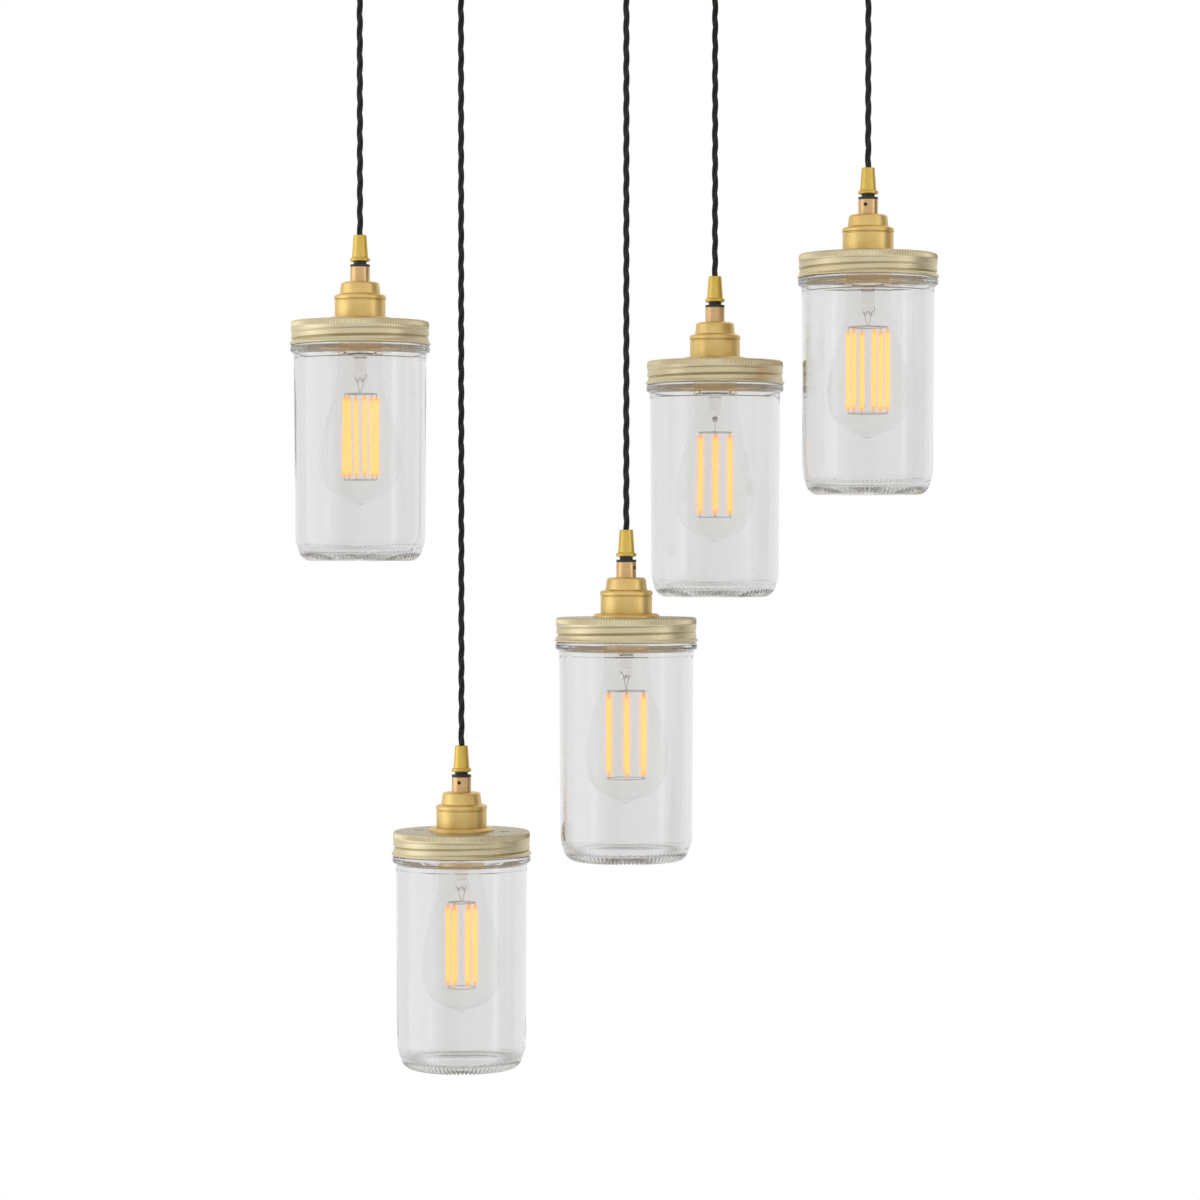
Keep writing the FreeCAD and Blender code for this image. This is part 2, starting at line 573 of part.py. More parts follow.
def make_bulb_glass():
    """The sealed bulb: a plug in the cap, a flared neck, a long belly, and the stem inside."""
    body = turned("bulb_glass", [
        ("0", "places.bulb_plug_top"),
        ("places.bulb_plug", "places.bulb_plug_top"),
        ("places.bulb_plug", "places.bulb_collar"),
        ("sizes.bulb_neck_radius", "places.bulb_neck_top", "sizes.bulb_neck_edge"),
        ("places.bulb_neck_out", "places.bulb_neck_low", "sizes.bulb_neck_round"),
        ("sizes.bulb_belly", "places.bulb_belly_z", "sizes.bulb_belly_round"),
        ("places.bulb_foot", "places.bulb_low", "sizes.bulb_foot_round"),
        ("0", "places.bulb_low"),
    ])
    turn(body, "Groove", "bulb_void", [
        ("0", "places.stem_tip"),
        ("sizes.stem_radius", "places.stem_tip", "sizes.stem_edge"),
        ("sizes.stem_radius", "places.bulb_inside_top"),
        ("sizes.bulb_neck_radius - sizes.bulb_wall", "places.bulb_inside_top", "sizes.bulb_neck_edge"),
        ("places.bulb_neck_out - sizes.bulb_wall", "places.bulb_neck_low",
         "sizes.bulb_neck_round + sizes.bulb_wall"),
        ("sizes.bulb_belly - sizes.bulb_wall", "places.bulb_belly_z",
         "sizes.bulb_belly_round - sizes.bulb_wall"),
        ("places.bulb_foot - sizes.bulb_wall", "places.bulb_inside_low",
         "sizes.bulb_foot_round - sizes.bulb_wall"),
        ("0", "places.bulb_inside_low"),
    ])
    return body


def rod(name, radius, length, x, y, z):
    """An upright rod."""
    made = doc.addObject("Part::Cylinder", name)
    bind(made, {"Radius": radius, "Height": length,
                "Placement.Base.x": x, "Placement.Base.y": y, "Placement.Base.z": z})
    return made


def make_filaments():
    """Six upright sticks between two wire rings, hung from the stem by two leads."""
    pieces = [rod("lead_hub", "sizes.lead_hub", "sizes.lead_hub_height", "0", "0",
                  "places.stem_tip - sizes.lead_hub_height")]
    fall = "(places.lead_top - places.filament_top)"
    for side, axis in (("right", FreeCAD.Vector(0, 1, 0)), ("left", FreeCAD.Vector(0, -1, 0))):
        lead = rod(f"lead_{side}", "sizes.lead_radius", f"sqrt(sizes.filament_ring ^ 2 + {fall} ^ 2)",
                   "0", "0", "places.lead_top")
        lead.Placement.Rotation = FreeCAD.Rotation(axis, 90)
        bind(lead, {"Placement.Rotation.Angle": f"90 deg + atan({fall} / sizes.filament_ring)"})
        pieces.append(lead)
    for end in ("top", "low"):
        ring = doc.addObject("Part::Torus", f"filament_ring_{end}")
        bind(ring, {"Radius1": "sizes.filament_ring", "Radius2": "sizes.filament_wire",
                    "Placement.Base.z": f"places.filament_{end}"})
        pieces.append(ring)
    sticks = 6
    for i in range(sticks):
        angle = 360 * i / sticks
        pieces.append(rod(f"filament_{i + 1}", "sizes.filament_radius", "sizes.filament_length",
                          f"sizes.filament_ring * cos({angle})", f"sizes.filament_ring * sin({angle})",
                          "places.filament_low"))
    cage = doc.addObject("Part::MultiFuse", "filament_cage")
    cage.Shapes = pieces
    return cage


def make_jar():
    """The glass: threaded neck, bead under the lid, slightly tapered wall, rounded foot, pushed-up base."""
    thread = []
    for ridge in ("places.ridge_z_1", "places.ridge_z_2"):
        thread += [
            ("places.jar_neck", f"{ridge} + sizes.thread_crest + sizes.thread_ridge"),
            ("places.jar_thread", f"{ridge} + sizes.thread_crest"),
            ("places.jar_thread", f"{ridge} - sizes.thread_crest"),
            ("places.jar_neck", f"{ridge} - sizes.thread_crest - sizes.thread_ridge"),
        ]
    return turned("jar", [
        ("places.jar_mouth", "places.jar_rim", "sizes.jar_rim_edge"),
        ("places.jar_neck", "places.jar_rim", "sizes.jar_rim_edge"),
        *thread,
        ("places.jar_neck", "places.bead_top"),
        ("places.bead_radius", "places.bead_top", "sizes.bead_edge"),
        ("places.bead_radius", "places.bead_low", "sizes.bead_edge"),
        ("places.jar_radius_top", "places.bead_low - sizes.jar_shoulder"),
        ("places.jar_radius_low", "places.jar_low", "sizes.jar_corner"),
        ("places.jar_radius_low - sizes.jar_corner - sizes.jar_foot", "places.jar_low"),
        ("0", "places.jar_low + sizes.jar_push_up"),
        ("0", "places.jar_floor_top"),
        ("places.jar_inside_low", "places.jar_floor_top", "sizes.jar_corner - sizes.glass_wall"),
        ("places.jar_inside_top", "places.bead_low"),
        ("places.jar_mouth", "places.bead_top"),
    ])


def make_jar_lid():
    """The screw lid: a knurled band, two ridges of the rolled thread, a curled edge, two vent holes."""
    body = turned("jar_lid", [
        ("places.ring_bore", "0"),
        ("places.lid_radius", "0", "sizes.lid_edge"),
        ("places.lid_radius", "sizes.lid_groove - sizes.lid_band"),
        ("places.lid_groove_radius", "-sizes.lid_band"),
        ("places.lid_ridge_radius", "places.ridge_z_1", "sizes.lid_ridge_edge"),
        ("places.lid_groove_radius", "-sizes.lid_band - places.lid_wave"),
        ("places.lid_ridge_radius", "places.ridge_z_2", "sizes.lid_ridge_edge"),
        ("places.lid_groove_radius", "places.lid_curl_top"),
        ("places.lid_curl_radius", "-sizes.lid_height + 2 * sizes.lid_curl_edge", "sizes.lid_curl_edge"),
        ("places.lid_curl_radius", "-sizes.lid_height", "sizes.lid_curl_edge"),
        ("places.lid_inside", "-sizes.lid_height"),
        ("places.lid_inside", "-sizes.lid_wall"),
        ("places.ring_bore", "-sizes.lid_wall"),
    ])
    vents = [("-sizes.vent_offset", "0"), ("sizes.vent_offset", "0")]
    cut(body, circles(body, "lid_vents", "XY_Plane", vents, "sizes.vent_radius"), "sizes.lid_wall")
    return body


# what each pendant is made of, apart from its cord
PIECES = {
    "cord_grip": [make_cord_grip()],
    "grip_bush": [make_grip_bush()],
    "entry_sleeve": [make_entry_sleeve()],
    "holder_shell": [make_holder_cap(), make_holder_skirt(), make_upper_ring(), make_ring_nut()],
    "socket_insert": [make_socket_insert()],
    "bulb_cap": [make_bulb_cap()],
    "bulb_glass": [make_bulb_glass()],
    "filaments": [make_filaments()],
    "jar_lid": [make_jar_lid()],
    "jar": [make_jar()],
}

sub_parts = [make_canopy_cover(), make_ceiling_bracket(), make_cover_nuts(), make_terminal_block(),
             make_outlet_grips()]
for pendant in PENDANTS:
    sub_parts.append(make_cord(pendant))
    for name, pieces in PIECES.items():
        sub_parts.append(copy_at(f"{name}_{pendant}", pieces, f"sizes.place_x_{pendant}",
                                 f"sizes.place_y_{pendant}", f"places.lid_top_{pendant}",
                                 f"sizes.facing_{pendant}"))
doc.recompute()

for thing in doc.Objects:
    if "Invalid" in thing.State or "Error" in thing.State:
        raise ValueError(f"{thing.Name} failed: {thing.State}")
for part in sub_parts:
    if part.Shape.isNull() or not part.Shape.isValid() or not part.Shape.Solids:
        raise ValueError(f"{part.Label} has no sound shape")

os.makedirs("parts", exist_ok=True)
for part in sub_parts:
    part.Shape.exportStep(f"parts/{part.Label}.step")
print(len(sub_parts), "sub-parts written")
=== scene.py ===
import math
import random

import bmesh
import bpy
import numpy as np
from mathutils import Matrix, Vector


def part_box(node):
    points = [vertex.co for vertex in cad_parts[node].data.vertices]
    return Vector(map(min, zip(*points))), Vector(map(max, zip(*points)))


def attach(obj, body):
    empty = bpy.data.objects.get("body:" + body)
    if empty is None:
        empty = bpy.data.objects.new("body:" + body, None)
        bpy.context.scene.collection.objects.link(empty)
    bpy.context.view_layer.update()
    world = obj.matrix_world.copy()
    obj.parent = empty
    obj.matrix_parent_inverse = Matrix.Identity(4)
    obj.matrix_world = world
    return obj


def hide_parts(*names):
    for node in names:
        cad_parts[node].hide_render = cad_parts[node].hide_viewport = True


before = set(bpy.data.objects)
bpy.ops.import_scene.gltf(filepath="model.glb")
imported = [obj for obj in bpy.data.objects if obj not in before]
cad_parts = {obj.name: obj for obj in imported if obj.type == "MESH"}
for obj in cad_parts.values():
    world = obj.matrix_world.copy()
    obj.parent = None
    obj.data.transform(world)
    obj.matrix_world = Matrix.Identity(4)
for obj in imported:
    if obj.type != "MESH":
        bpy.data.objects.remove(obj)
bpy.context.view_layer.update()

# A ceiling light of five lit jars on twisted cords.
# A pendant's pieces are drawn in millimetres about its cord's axis, upwards from the top of its lid.
MM = 0.001
PENDANTS = (1, 2, 3, 4, 5)
# how far each pendant's pieces are turned about its cord
FACING_DEGREES = {1: 165, 2: -12, 3: 56, 4: 88, 5: -20}
TURN = 2 * math.pi

# camera, with the photograph's frame and viewpoint
CAMERA_PLACE = (-0.0107, -2.650, -0.495)
CAMERA_TILT_DEGREES = 0.97
CAMERA_LENS = 100.6
CAMERA_SENSOR = 36.0

# sizes of detail that the frame doesn't give, in millimetres
STRANDS = 3
STRAND_RADIUS = 1.13
LAY_RADIUS = 1.42
LAY_PITCH = 46.8
POINTS_PER_LAY = 28
GRIP_BORE = 2.7
GRIP_FLANGE = 3.0
SET_SCREW_RADIUS = 1.42
SET_SCREW_HOLE = 1.5
SET_SCREW_DROP = 4.3
SKIRT_RADIUS = 20.0
SKIRT_BORE = 16.0
THREAD_RADIUS = 18.0
THREAD_CLEARANCE = 0.15
RING_HEIGHT = 3.0
RING_NUT_RADIUS = 24.15
RING_NUT_HEIGHT = 8.0
LIP_LOW = 17.0
LIP_TOP = 21.0
CAP_BORE = 5.1
CAP_RADIUS = 15.6
CAP_TOP_RADIUS = 14.95
CAP_TOP = 31.0
METAL_EDGE = 0.35
LID_WALL = 0.8
LID_BAND = 6.0
LID_RIDGES = 150
KNURL_DEPTH = 0.6
LID_THREAD_LEAD = 5.2
LID_THREAD_DEPTH = 1.7
VENT_RADIUS = 4.0
VENT_OFFSET = 35.0
JAR_WALL = 3.3
JAR_NECK = 50.4
JAR_BODY_TOP = 52.3
JAR_BODY_LOW = 51.2
JAR_THREAD_DEPTH = 1.2
JAR_CORNER = 17.0
BASE_RIBS = 84
# where the painted shade between the ribs of the jar's foot starts to fade and ends, towards its middle and
# upwards
FOOT_SHADE_RADII = (38.0, 34.0)
FOOT_SHADE_HEIGHTS = (-188.5, -183.5)
# the painted glow of the bulb's light on the inside of the lid changes between these radii
LID_GLOW_RADII = (18.0, 52.0)
BULB_WALL = 0.7
STEM_TIP = -48.5
SCREW_LEAD = 3.629
SCREW_DEPTH = 1.0
STICKS = 6
# each bulb's ring of sticks: its radius and its turn
STICK_RINGS = {1: 12.9, 2: 10.8, 3: 15.4, 4: 13.8, 5: 15.4}
STICK_DEGREES = {1: 5, 2: 12, 3: 34, 4: 2, 5: 3}
# the sticks' ends, from the foot of the frame's filaments
STICK_ENDS = (-2.2, 65.7)
STICK_RADIUS = 1.45
STICK_TAB = 1.8
HALO_RADIUS = 2.2
GLOW_RADIUS = 3.6
WIRE_RADIUS = 0.28

scene = bpy.context.scene


def lid_place(pendant):
    """The middle of the top of a pendant's lid, in metres."""
    low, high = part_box(f"jar_lid_{pendant}")
    return Vector(((low.x + high.x) / 2, (low.y + high.y) / 2, high.z))


LIDS = {pendant: lid_place(pendant) for pendant in PENDANTS}


def span(kind):
    """A turned piece's radius, foot and top, from the first pendant's node."""
    low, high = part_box(f"{kind}_1")
    return (high.x - low.x) / 2 / MM, (low.z - LIDS[1].z) / MM, (high.z - LIDS[1].z) / MM


# Shapes

def arc_points(centre, start, end, degrees):
    """Points on the short way round a circle from one point on it to another, some degrees apart."""
    step = math.radians(degrees)
    first = math.atan2(start.y - centre.y, start.x - centre.x)
    last = math.atan2(end.y - centre.y, end.x - centre.x)
    sweep = (last - first + math.pi) % TURN - math.pi
    count = max(2, math.ceil(abs(sweep) / step))
    radius = (start - centre).length
    angles = [first + sweep * i / count for i in range(count + 1)]
    return [(centre.x + radius * math.cos(a), centre.y + radius * math.sin(a)) for a in angles]


def section(corners, closed=True, longest=None, arc_degrees=10):
    """Points through (radius, height) corners, a third number rounding one, at most longest apart."""
    spots = [Vector(corner[:2]) for corner in corners]
    points = []
    for i, corner in enumerate(corners):
        if len(corner) == 2:
            points.append(tuple(spots[i]))
            continue
        back = (spots[i - 1] - spots[i]).normalized()
        ahead = (spots[(i + 1) % len(spots)] - spots[i]).normalized()
        half = back.angle(ahead) / 2
        reach = corner[2] / math.tan(half)
        centre = spots[i] + (back + ahead).normalized() * (corner[2] / math.sin(half))
        points += arc_points(centre, spots[i] + back * reach, spots[i] + ahead * reach, arc_degrees)
    if longest is None:
        return points
    fine = []
    for here, there in zip(points, points[1:] + points[:1] if closed else points[1:]):
        count = max(1, math.ceil(math.dist(here, there) / longest))
        fine += [(here[0] + (there[0] - here[0]) * i / count, here[1] + (there[1] - here[1]) * i / count)
                 for i in range(count)]
    return fine if closed else fine + [points[-1]]


def turned_grid(points, steps, closed, shape=None):
    """Vertices and faces of a section turned about the Z axis. shape may move its radii and heights."""
    angles = np.arange(steps) * TURN / steps
    radii = np.repeat(np.array(points)[:, :1], steps, axis=1)
    heights = np.repeat(np.array(points)[:, 1:], steps, axis=1)
    if shape:
        radii, heights = shape(angles[None, :], radii, heights)
    grid = np.stack([radii * np.cos(angles), radii * np.sin(angles), heights], axis=-1).reshape(-1, 3)
    rows = len(points) if closed else len(points) - 1
    here = np.arange(rows)[:, None] * steps + np.arange(steps)[None, :]
    beside = np.arange(rows)[:, None] * steps + (np.arange(steps)[None, :] + 1) % steps
    last = len(points) * steps
    faces = np.stack([here, beside, (beside + steps) % last, (here + steps) % last], axis=-1).reshape(-1, 4)
    return grid, faces


def mesh_of(name, parts, smooth_degrees=40, materials=False):
    """A mesh in metres from (vertices, faces) parts in millimetres, each with its own material if asked."""
    made = bmesh.new()
    for number, (vertices, faces) in enumerate(parts):
        added = [made.verts.new(Vector(v) * MM) for v in vertices]
        for face in faces:
            made.faces.new([added[i] for i in face]).material_index = number if materials else 0
    bmesh.ops.remove_doubles(made, verts=made.verts, dist=1e-7)
    bmesh.ops.dissolve_degenerate(made, edges=made.edges, dist=1e-8)
    mesh = bpy.data.meshes.new(name)
    made.to_mesh(mesh)
    made.free()
    smooth(mesh, smooth_degrees)
    return mesh


def smooth(mesh, degrees):
    """Smooth shading, with edges sharper than an angle kept."""
    mesh.shade_smooth()
    mesh.set_sharp_from_angle(angle=math.radians(degrees))


def turned(name, *sections, steps=96, shape=None, smooth_degrees=40):
    """A mesh of closed sections, listed upwards on their outside."""
    return mesh_of(name, [turned_grid(points, steps, True, shape) for points in sections], smooth_degrees)


def tube_grid(points, radius, sides=8):
    """Vertices and faces of a closed tube through points. radius may be a list, one for each point."""
    points = [Vector(p) for p in points]
    radii = radius if isinstance(radius, (list, tuple)) else [radius] * len(points)
    tangents = [(points[min(i + 1, len(points) - 1)] - points[max(i - 1, 0)]).normalized()
                for i in range(len(points))]
    across = tangents[0].orthogonal().normalized()
    vertices = []
    for point, tangent, thick in zip(points, tangents, radii):
        across = (across - tangent * across.dot(tangent)).normalized()
        beside = tangent.cross(across)
        for angle in [TURN * j / sides for j in range(sides)]:
            vertices.append(point + (across * math.cos(angle) + beside * math.sin(angle)) * thick)
    faces = []
    for ring in range(0, (len(points) - 1) * sides, sides):
        for j in range(sides):
            after = (j + 1) % sides
            faces.append((ring + j, ring + after, ring + sides + after, ring + sides + j))
    faces.append(tuple(reversed(range(sides))))
    faces.append(tuple(range((len(points) - 1) * sides, len(points) * sides)))
    return vertices, faces


def lay_coordinates(mesh, sides, rings, round_size, long_size):
    """Texture coordinates round and along each of a mesh's tubes, from their vertices' order."""
    layer = mesh.uv_layers.new(name="along")
    for polygon in mesh.polygons:
        places = [(v % sides, v // sides % rings) for v in polygon.vertices]
        seam = {0, sides - 1} <= {side for side, _ in places}
        for loop, (side, ring) in zip(polygon.loop_indices, places):
            share = 1.0 if seam and side == 0 else side / sides
            layer.data[loop].uv = (share * round_size, ring / (rings - 1) * long_size)


def ring_points(radius, height, count=48):
    """Points once round a level circle, with the first one again at the end."""
    return [(radius * math.cos(TURN * i / count), radius * math.sin(TURN * i / count), height)
            for i in range(count + 1)]


def drilled(mesh, drills, smooth_degrees=40):
    """The mesh with the drills' meshes cut out of it."""
    holder = bpy.data.objects.new("drilled", mesh)
    scene.collection.objects.link(holder)
    cutters = []
    for drill in drills:
        cutter = bpy.data.objects.new("drill", drill)
        scene.collection.objects.link(cutter)
        cut = holder.modifiers.new("cut", "BOOLEAN")
        cut.operation = "DIFFERENCE"
        cut.solver = "EXACT"
        cut.object = cutter
        cutters.append(cutter)
    result = bpy.data.meshes.new_from_object(holder.evaluated_get(bpy.context.evaluated_depsgraph_get()))
    for thing in [holder, *cutters]:
        bpy.data.objects.remove(thing)
    smooth(result, smooth_degrees)
    return result


def window(values, low, high, fade):
    """1 between two bounds, falling to 0 over a fade inside each of them."""
    return np.clip(np.minimum(values - low, high - values) / fade, 0, 1)


def helix_ridge(angles, heights, lead, start):
    """0 to 1 across a right-handed thread, 1 on its crest."""
    return 0.5 + 0.5 * np.cos(TURN * ((heights - start) / lead - angles / TURN))


# Materials

def add(tree, kind, inputs=None, **settings):
    """A new shader node, with its settings, and inputs given as numbers, colours or other nodes' outputs."""
    made = tree.nodes.new("ShaderNode" + kind)
    for name, setting in settings.items():
        setattr(made, name, setting)
    for name, given in (inputs or {}).items():
        if isinstance(given, bpy.types.NodeSocket):
            tree.links.new(given, made.inputs[name])
        else:
            made.inputs[name].default_value = given
    return made


def ramp(tree, factor, stops):
    """A colour for each position of a factor from 0 to 1."""
    made = add(tree, "ValToRGB", {"Fac": factor})
    elements = made.color_ramp.elements
    while len(elements) < len(stops):
        elements.new(0.5)
    for element, (position, colour) in zip(elements, stops):
        element.position = position
        element.color = (*colour, 1)
    return made.outputs["Color"]


def noise(tree, stretch, scale, detail=3.0):
    """A noise in the piece's own coordinates, with its grain stretched along some axes."""
    place = add(tree, "TexCoord").outputs["Object"]
    scaled = add(tree, "Mapping", {"Vector": place, "Scale": stretch}).outputs["Vector"]
    return add(tree, "TexNoise", {"Vector": scaled, "Scale": scale, "Detail": detail}).outputs["Fac"]


def spread(tree, factor, low, high):
    """A factor brought from 0.3 to 0.7, where noise lies, to a range of its own."""
    return add(tree, "MapRange", {"Value": factor, "From Min": 0.3, "From Max": 0.7, "To Min": low,
                                  "To Max": high}).outputs["Result"]


def mix(tree, factor, first, second, **settings):
    """A colour between two, or another blend of them."""
    return add(tree, "Mix", {"Factor": factor, "A": first, "B": second}, data_type="RGBA",
               **settings).outputs["Result"]


def times(tree, first, second):
    """The product of two colours."""
    return mix(tree, 1.0, first, second, blend_type="MULTIPLY")


def combine(tree, operation, *numbers):
    """What an operation makes of numbers."""
    return add(tree, "Math", dict(enumerate(numbers)), operation=operation).outputs["Value"]


def rise(tree, factor, start, end):
    """0 where a factor has one value, up to 1 where it has another."""
    return add(tree, "MapRange", {"Value": factor, "From Min": start, "From Max": end}).outputs["Result"]


def from_axis(tree):
    """How far a point lies from the upright axis of its piece."""
    place = add(tree, "TexCoord").outputs["Object"]
    flat = add(tree, "VectorMath", {0: place, 1: (1, 1, 0)}, operation="MULTIPLY").outputs["Vector"]
    return add(tree, "VectorMath", {0: flat}, operation="LENGTH").outputs["Value"]


def bump(tree, height, depth):
    """A normal that follows a height from 0 to 1 over a depth in metres."""
    return add(tree, "Bump", {"Height": height, "Distance": depth, "Strength": 1.0}).outputs["Normal"]


def new_material(name, **sockets):
    """A material with a plain shader and its constant inputs set."""
    material = bpy.data.materials.new(name)
    material.use_nodes = True
    shader = material.node_tree.nodes["Principled BSDF"]
    for socket, setting in sockets.items():
        shader.inputs[socket.replace("_", " ")].default_value = setting
    return material, material.node_tree, shader


def join(tree, shader, **sockets):
    """Links outputs of nodes to a shader's inputs."""
    for socket, output in sockets.items():
        tree.links.new(output, shader.inputs[socket.replace("_", " ")])


def satin_metal(name, bright, deep, roughness, marks=(1, 1, 30), depth=0.00002):
    """Turned metal: soft patches of tarnish, and fine marks of the tool round it."""
    material, tree, shader = new_material(name, Metallic=1.0)
    patches = noise(tree, (1, 1, 1), 90)
    grain = noise(tree, marks, 260, 5.0)
    join(tree, shader,
         Base_Color=ramp(tree, patches, [(0.3, deep), (0.65, bright)]),
         Roughness=spread(tree, grain, roughness - 0.06, roughness + 0.08),
         Normal=bump(tree, grain, depth))
    return material


def lit_brass():
    """The lampholder's brass inside the jar, with a painted glow standing for the bulb's light on it."""
    material = satin_metal("lit_brass", (0.74, 0.61, 0.40), (0.68, 0.55, 0.34), 0.42)
    tree = material.node_tree
    shader = tree.nodes["Principled BSDF"]
    # a faint painted glow, standing for the bulb's light on the brass
    shader.inputs["Emission Strength"].default_value = 0.13
    glow = ramp(tree, noise(tree, (1, 1, 1), 90), [(0.3, (0.9, 0.60, 0.36)), (0.7, (1.0, 0.70, 0.44))])
    join(tree, shader, Emission_Color=glow)
    return material


def painted_foot_shade(tree, rib_shade):
    """Painted shade between the ribs round a jar's foot, and white on the rest of the jar."""
    white = (1.0, 1.0, 1.0)
    place = add(tree, "SeparateXYZ", {"Vector": add(tree, "TexCoord").outputs["Object"]}).outputs
    inside = rise(tree, from_axis(tree), *[radius * MM for radius in FOOT_SHADE_RADII])
    above = rise(tree, place["Z"], *[height * MM for height in FOOT_SHADE_HEIGHTS])
    angle = combine(tree, "ARCTAN2", place["Y"], place["X"])
    wave = combine(tree, "SINE", combine(tree, "MULTIPLY", angle, float(BASE_RIBS)))
    ribs = ramp(tree, rise(tree, wave, -1.0, 1.0), [(0.35, rib_shade), (0.65, white)])
    return mix(tree, combine(tree, "MAXIMUM", above, inside), ribs, (*white, 1.0))


def jar_glass(name, dark, light, foot=(1.0, 1.0, 1.0)):
    """Pressed glass with a slow ripple, upright grey streaks that are partly streaks in the glass and partly
    painted reflections, and painted shade between the ribs round its foot.
    """
    material, tree, shader = new_material(name, IOR=1.33, Transmission_Weight=1.0)
    ripple = noise(tree, (1, 1, 0.25), 38, 2.0)
    # grey streaks: partly streaks in the glass, partly painted reflections of the studio
    streaks_and_painted_reflections = ramp(tree, noise(tree, (1, 1, 0.06), 24), [(0.35, dark), (0.65, light)])
    join(tree, shader,
         Base_Color=times(tree, streaks_and_painted_reflections, painted_foot_shade(tree, foot)),
         Roughness=spread(tree, ripple, 0.0, 0.02),
         Normal=bump(tree, ripple, 0.0002))
    return material


def bulb_glass(name, dark, light):
    """Thin blown glass, almost clear."""
    material, tree, shader = new_material(name, IOR=1.15, Transmission_Weight=1.0)
    ripple = noise(tree, (1, 1, 0.4), 45, 2.0)
    join(tree, shader,
         Base_Color=ramp(tree, ripple, [(0.3, dark), (0.7, light)]),
         Roughness=spread(tree, ripple, 0.0, 0.015),
         Normal=bump(tree, ripple, 0.00005))
    return material


def lit_stick():
    """A lit filament: yellow along its middle, orange at its ends, with the grain of its coating."""
    material, tree, shader = new_material("lit_stick", Emission_Strength=1.2)
    dull, warm, bright = (0.80, 0.30, 0.10), (0.90, 0.36, 0.12), (1.0, 0.66, 0.09)
    lengthways = add(tree, "UVMap", uv_map="along").outputs["UV"]
    along = add(tree, "SeparateXYZ", {"Vector": lengthways}).outputs["Y"]
    grain = noise(tree, (1, 1, 0.6), 900, 2.0)
    glow = ramp(tree, along, [(0.0, dull), (0.04, warm), (0.065, bright),
                              (0.935, bright), (0.96, warm), (1.0, dull)])
    spots = ramp(tree, grain, [(0.3, (0.95, 0.92, 0.80)), (0.6, (1.0, 1.0, 1.0))])
    join(tree, shader,
         Base_Color=ramp(tree, grain, [(0.3, (0.50, 0.32, 0.05)), (0.7, (0.56, 0.38, 0.07))]),
         Roughness=spread(tree, grain, 0.5, 0.7),
         Emission_Color=times(tree, glow, spots))
    return material


def painted_halo(name, alpha):
    """A painted glow round a lit filament, which shows most of what is behind it."""
    material, tree, shader = new_material(name, Emission_Strength=1.15, Roughness=0.6, Alpha=alpha)
    grain = noise(tree, (1, 1, 0.6), 500, 2.0)
    join(tree, shader,
         Base_Color=ramp(tree, grain, [(0.3, (0.30, 0.16, 0.07)), (0.7, (0.36, 0.20, 0.09))]),
         Emission_Color=ramp(tree, grain, [(0.3, (1.0, 0.52, 0.32)), (0.7, (1.0, 0.58, 0.38))]))
    return material


def cord_fabric():
    """Braided black yarn: two sets of threads that cross at a slant."""
    material, tree, shader = new_material("cord_fabric", Sheen_Weight=0.08)
    threads = add(tree, "UVMap", uv_map="along").outputs["UV"]
    crossings = []
    for slant_degrees in (35, -35):
        slanted = add(tree, "Mapping", {"Vector": threads, "Rotation": (0, 0, math.radians(slant_degrees))})
        crossings.append(add(tree, "TexWave", {"Vector": slanted.outputs["Vector"], "Scale": 0.45,
                                               "Distortion": 0.6, "Detail": 1.0}).outputs["Fac"])
    braid = combine(tree, "MAXIMUM", *crossings)
    fuzz = noise(tree, (1, 1, 1), 700)
    join(tree, shader,
         Base_Color=ramp(tree, braid, [(0.2, (0.003, 0.003, 0.003)), (0.9, (0.011, 0.010, 0.009))]),
         Roughness=spread(tree, fuzz, 0.7, 0.9),
         Normal=bump(tree, braid, 0.00012))
    return material


def moulded_plastic(name, dark, light, roughness):
    """Moulded plastic with a fine texture."""
    material, tree, shader = new_material(name)
    grain = noise(tree, (1, 1, 1), 900)
    join(tree, shader,
         Base_Color=ramp(tree, noise(tree, (1, 1, 1), 120), [(0.3, dark), (0.7, light)]),
         Roughness=spread(tree, grain, roughness - 0.08, roughness + 0.08),
         Normal=bump(tree, grain, 0.00003))
    return material


def lit_lacquer():
    """The gold lacquer inside a lid, with a painted glow for the bulb's light on it that fades outwards."""
    material, tree, shader = new_material("lid_lacquer_painted_glow", Emission_Strength=0.3)
    near, middle, far = (1.0, 0.62, 0.26), (0.72, 0.58, 0.38), (0.6, 0.56, 0.5)
    share = rise(tree, from_axis(tree), *[radius * MM for radius in LID_GLOW_RADII])
    patches = noise(tree, (1, 1, 1), 120)
    join(tree, shader,
         Base_Color=ramp(tree, patches, [(0.3, (0.66, 0.52, 0.30)), (0.7, (0.74, 0.60, 0.38))]),
         Roughness=spread(tree, patches, 0.35, 0.5),
         Emission_Color=ramp(tree, share, [(0.0, near), (0.5, middle), (1.0, far)]))
    return material


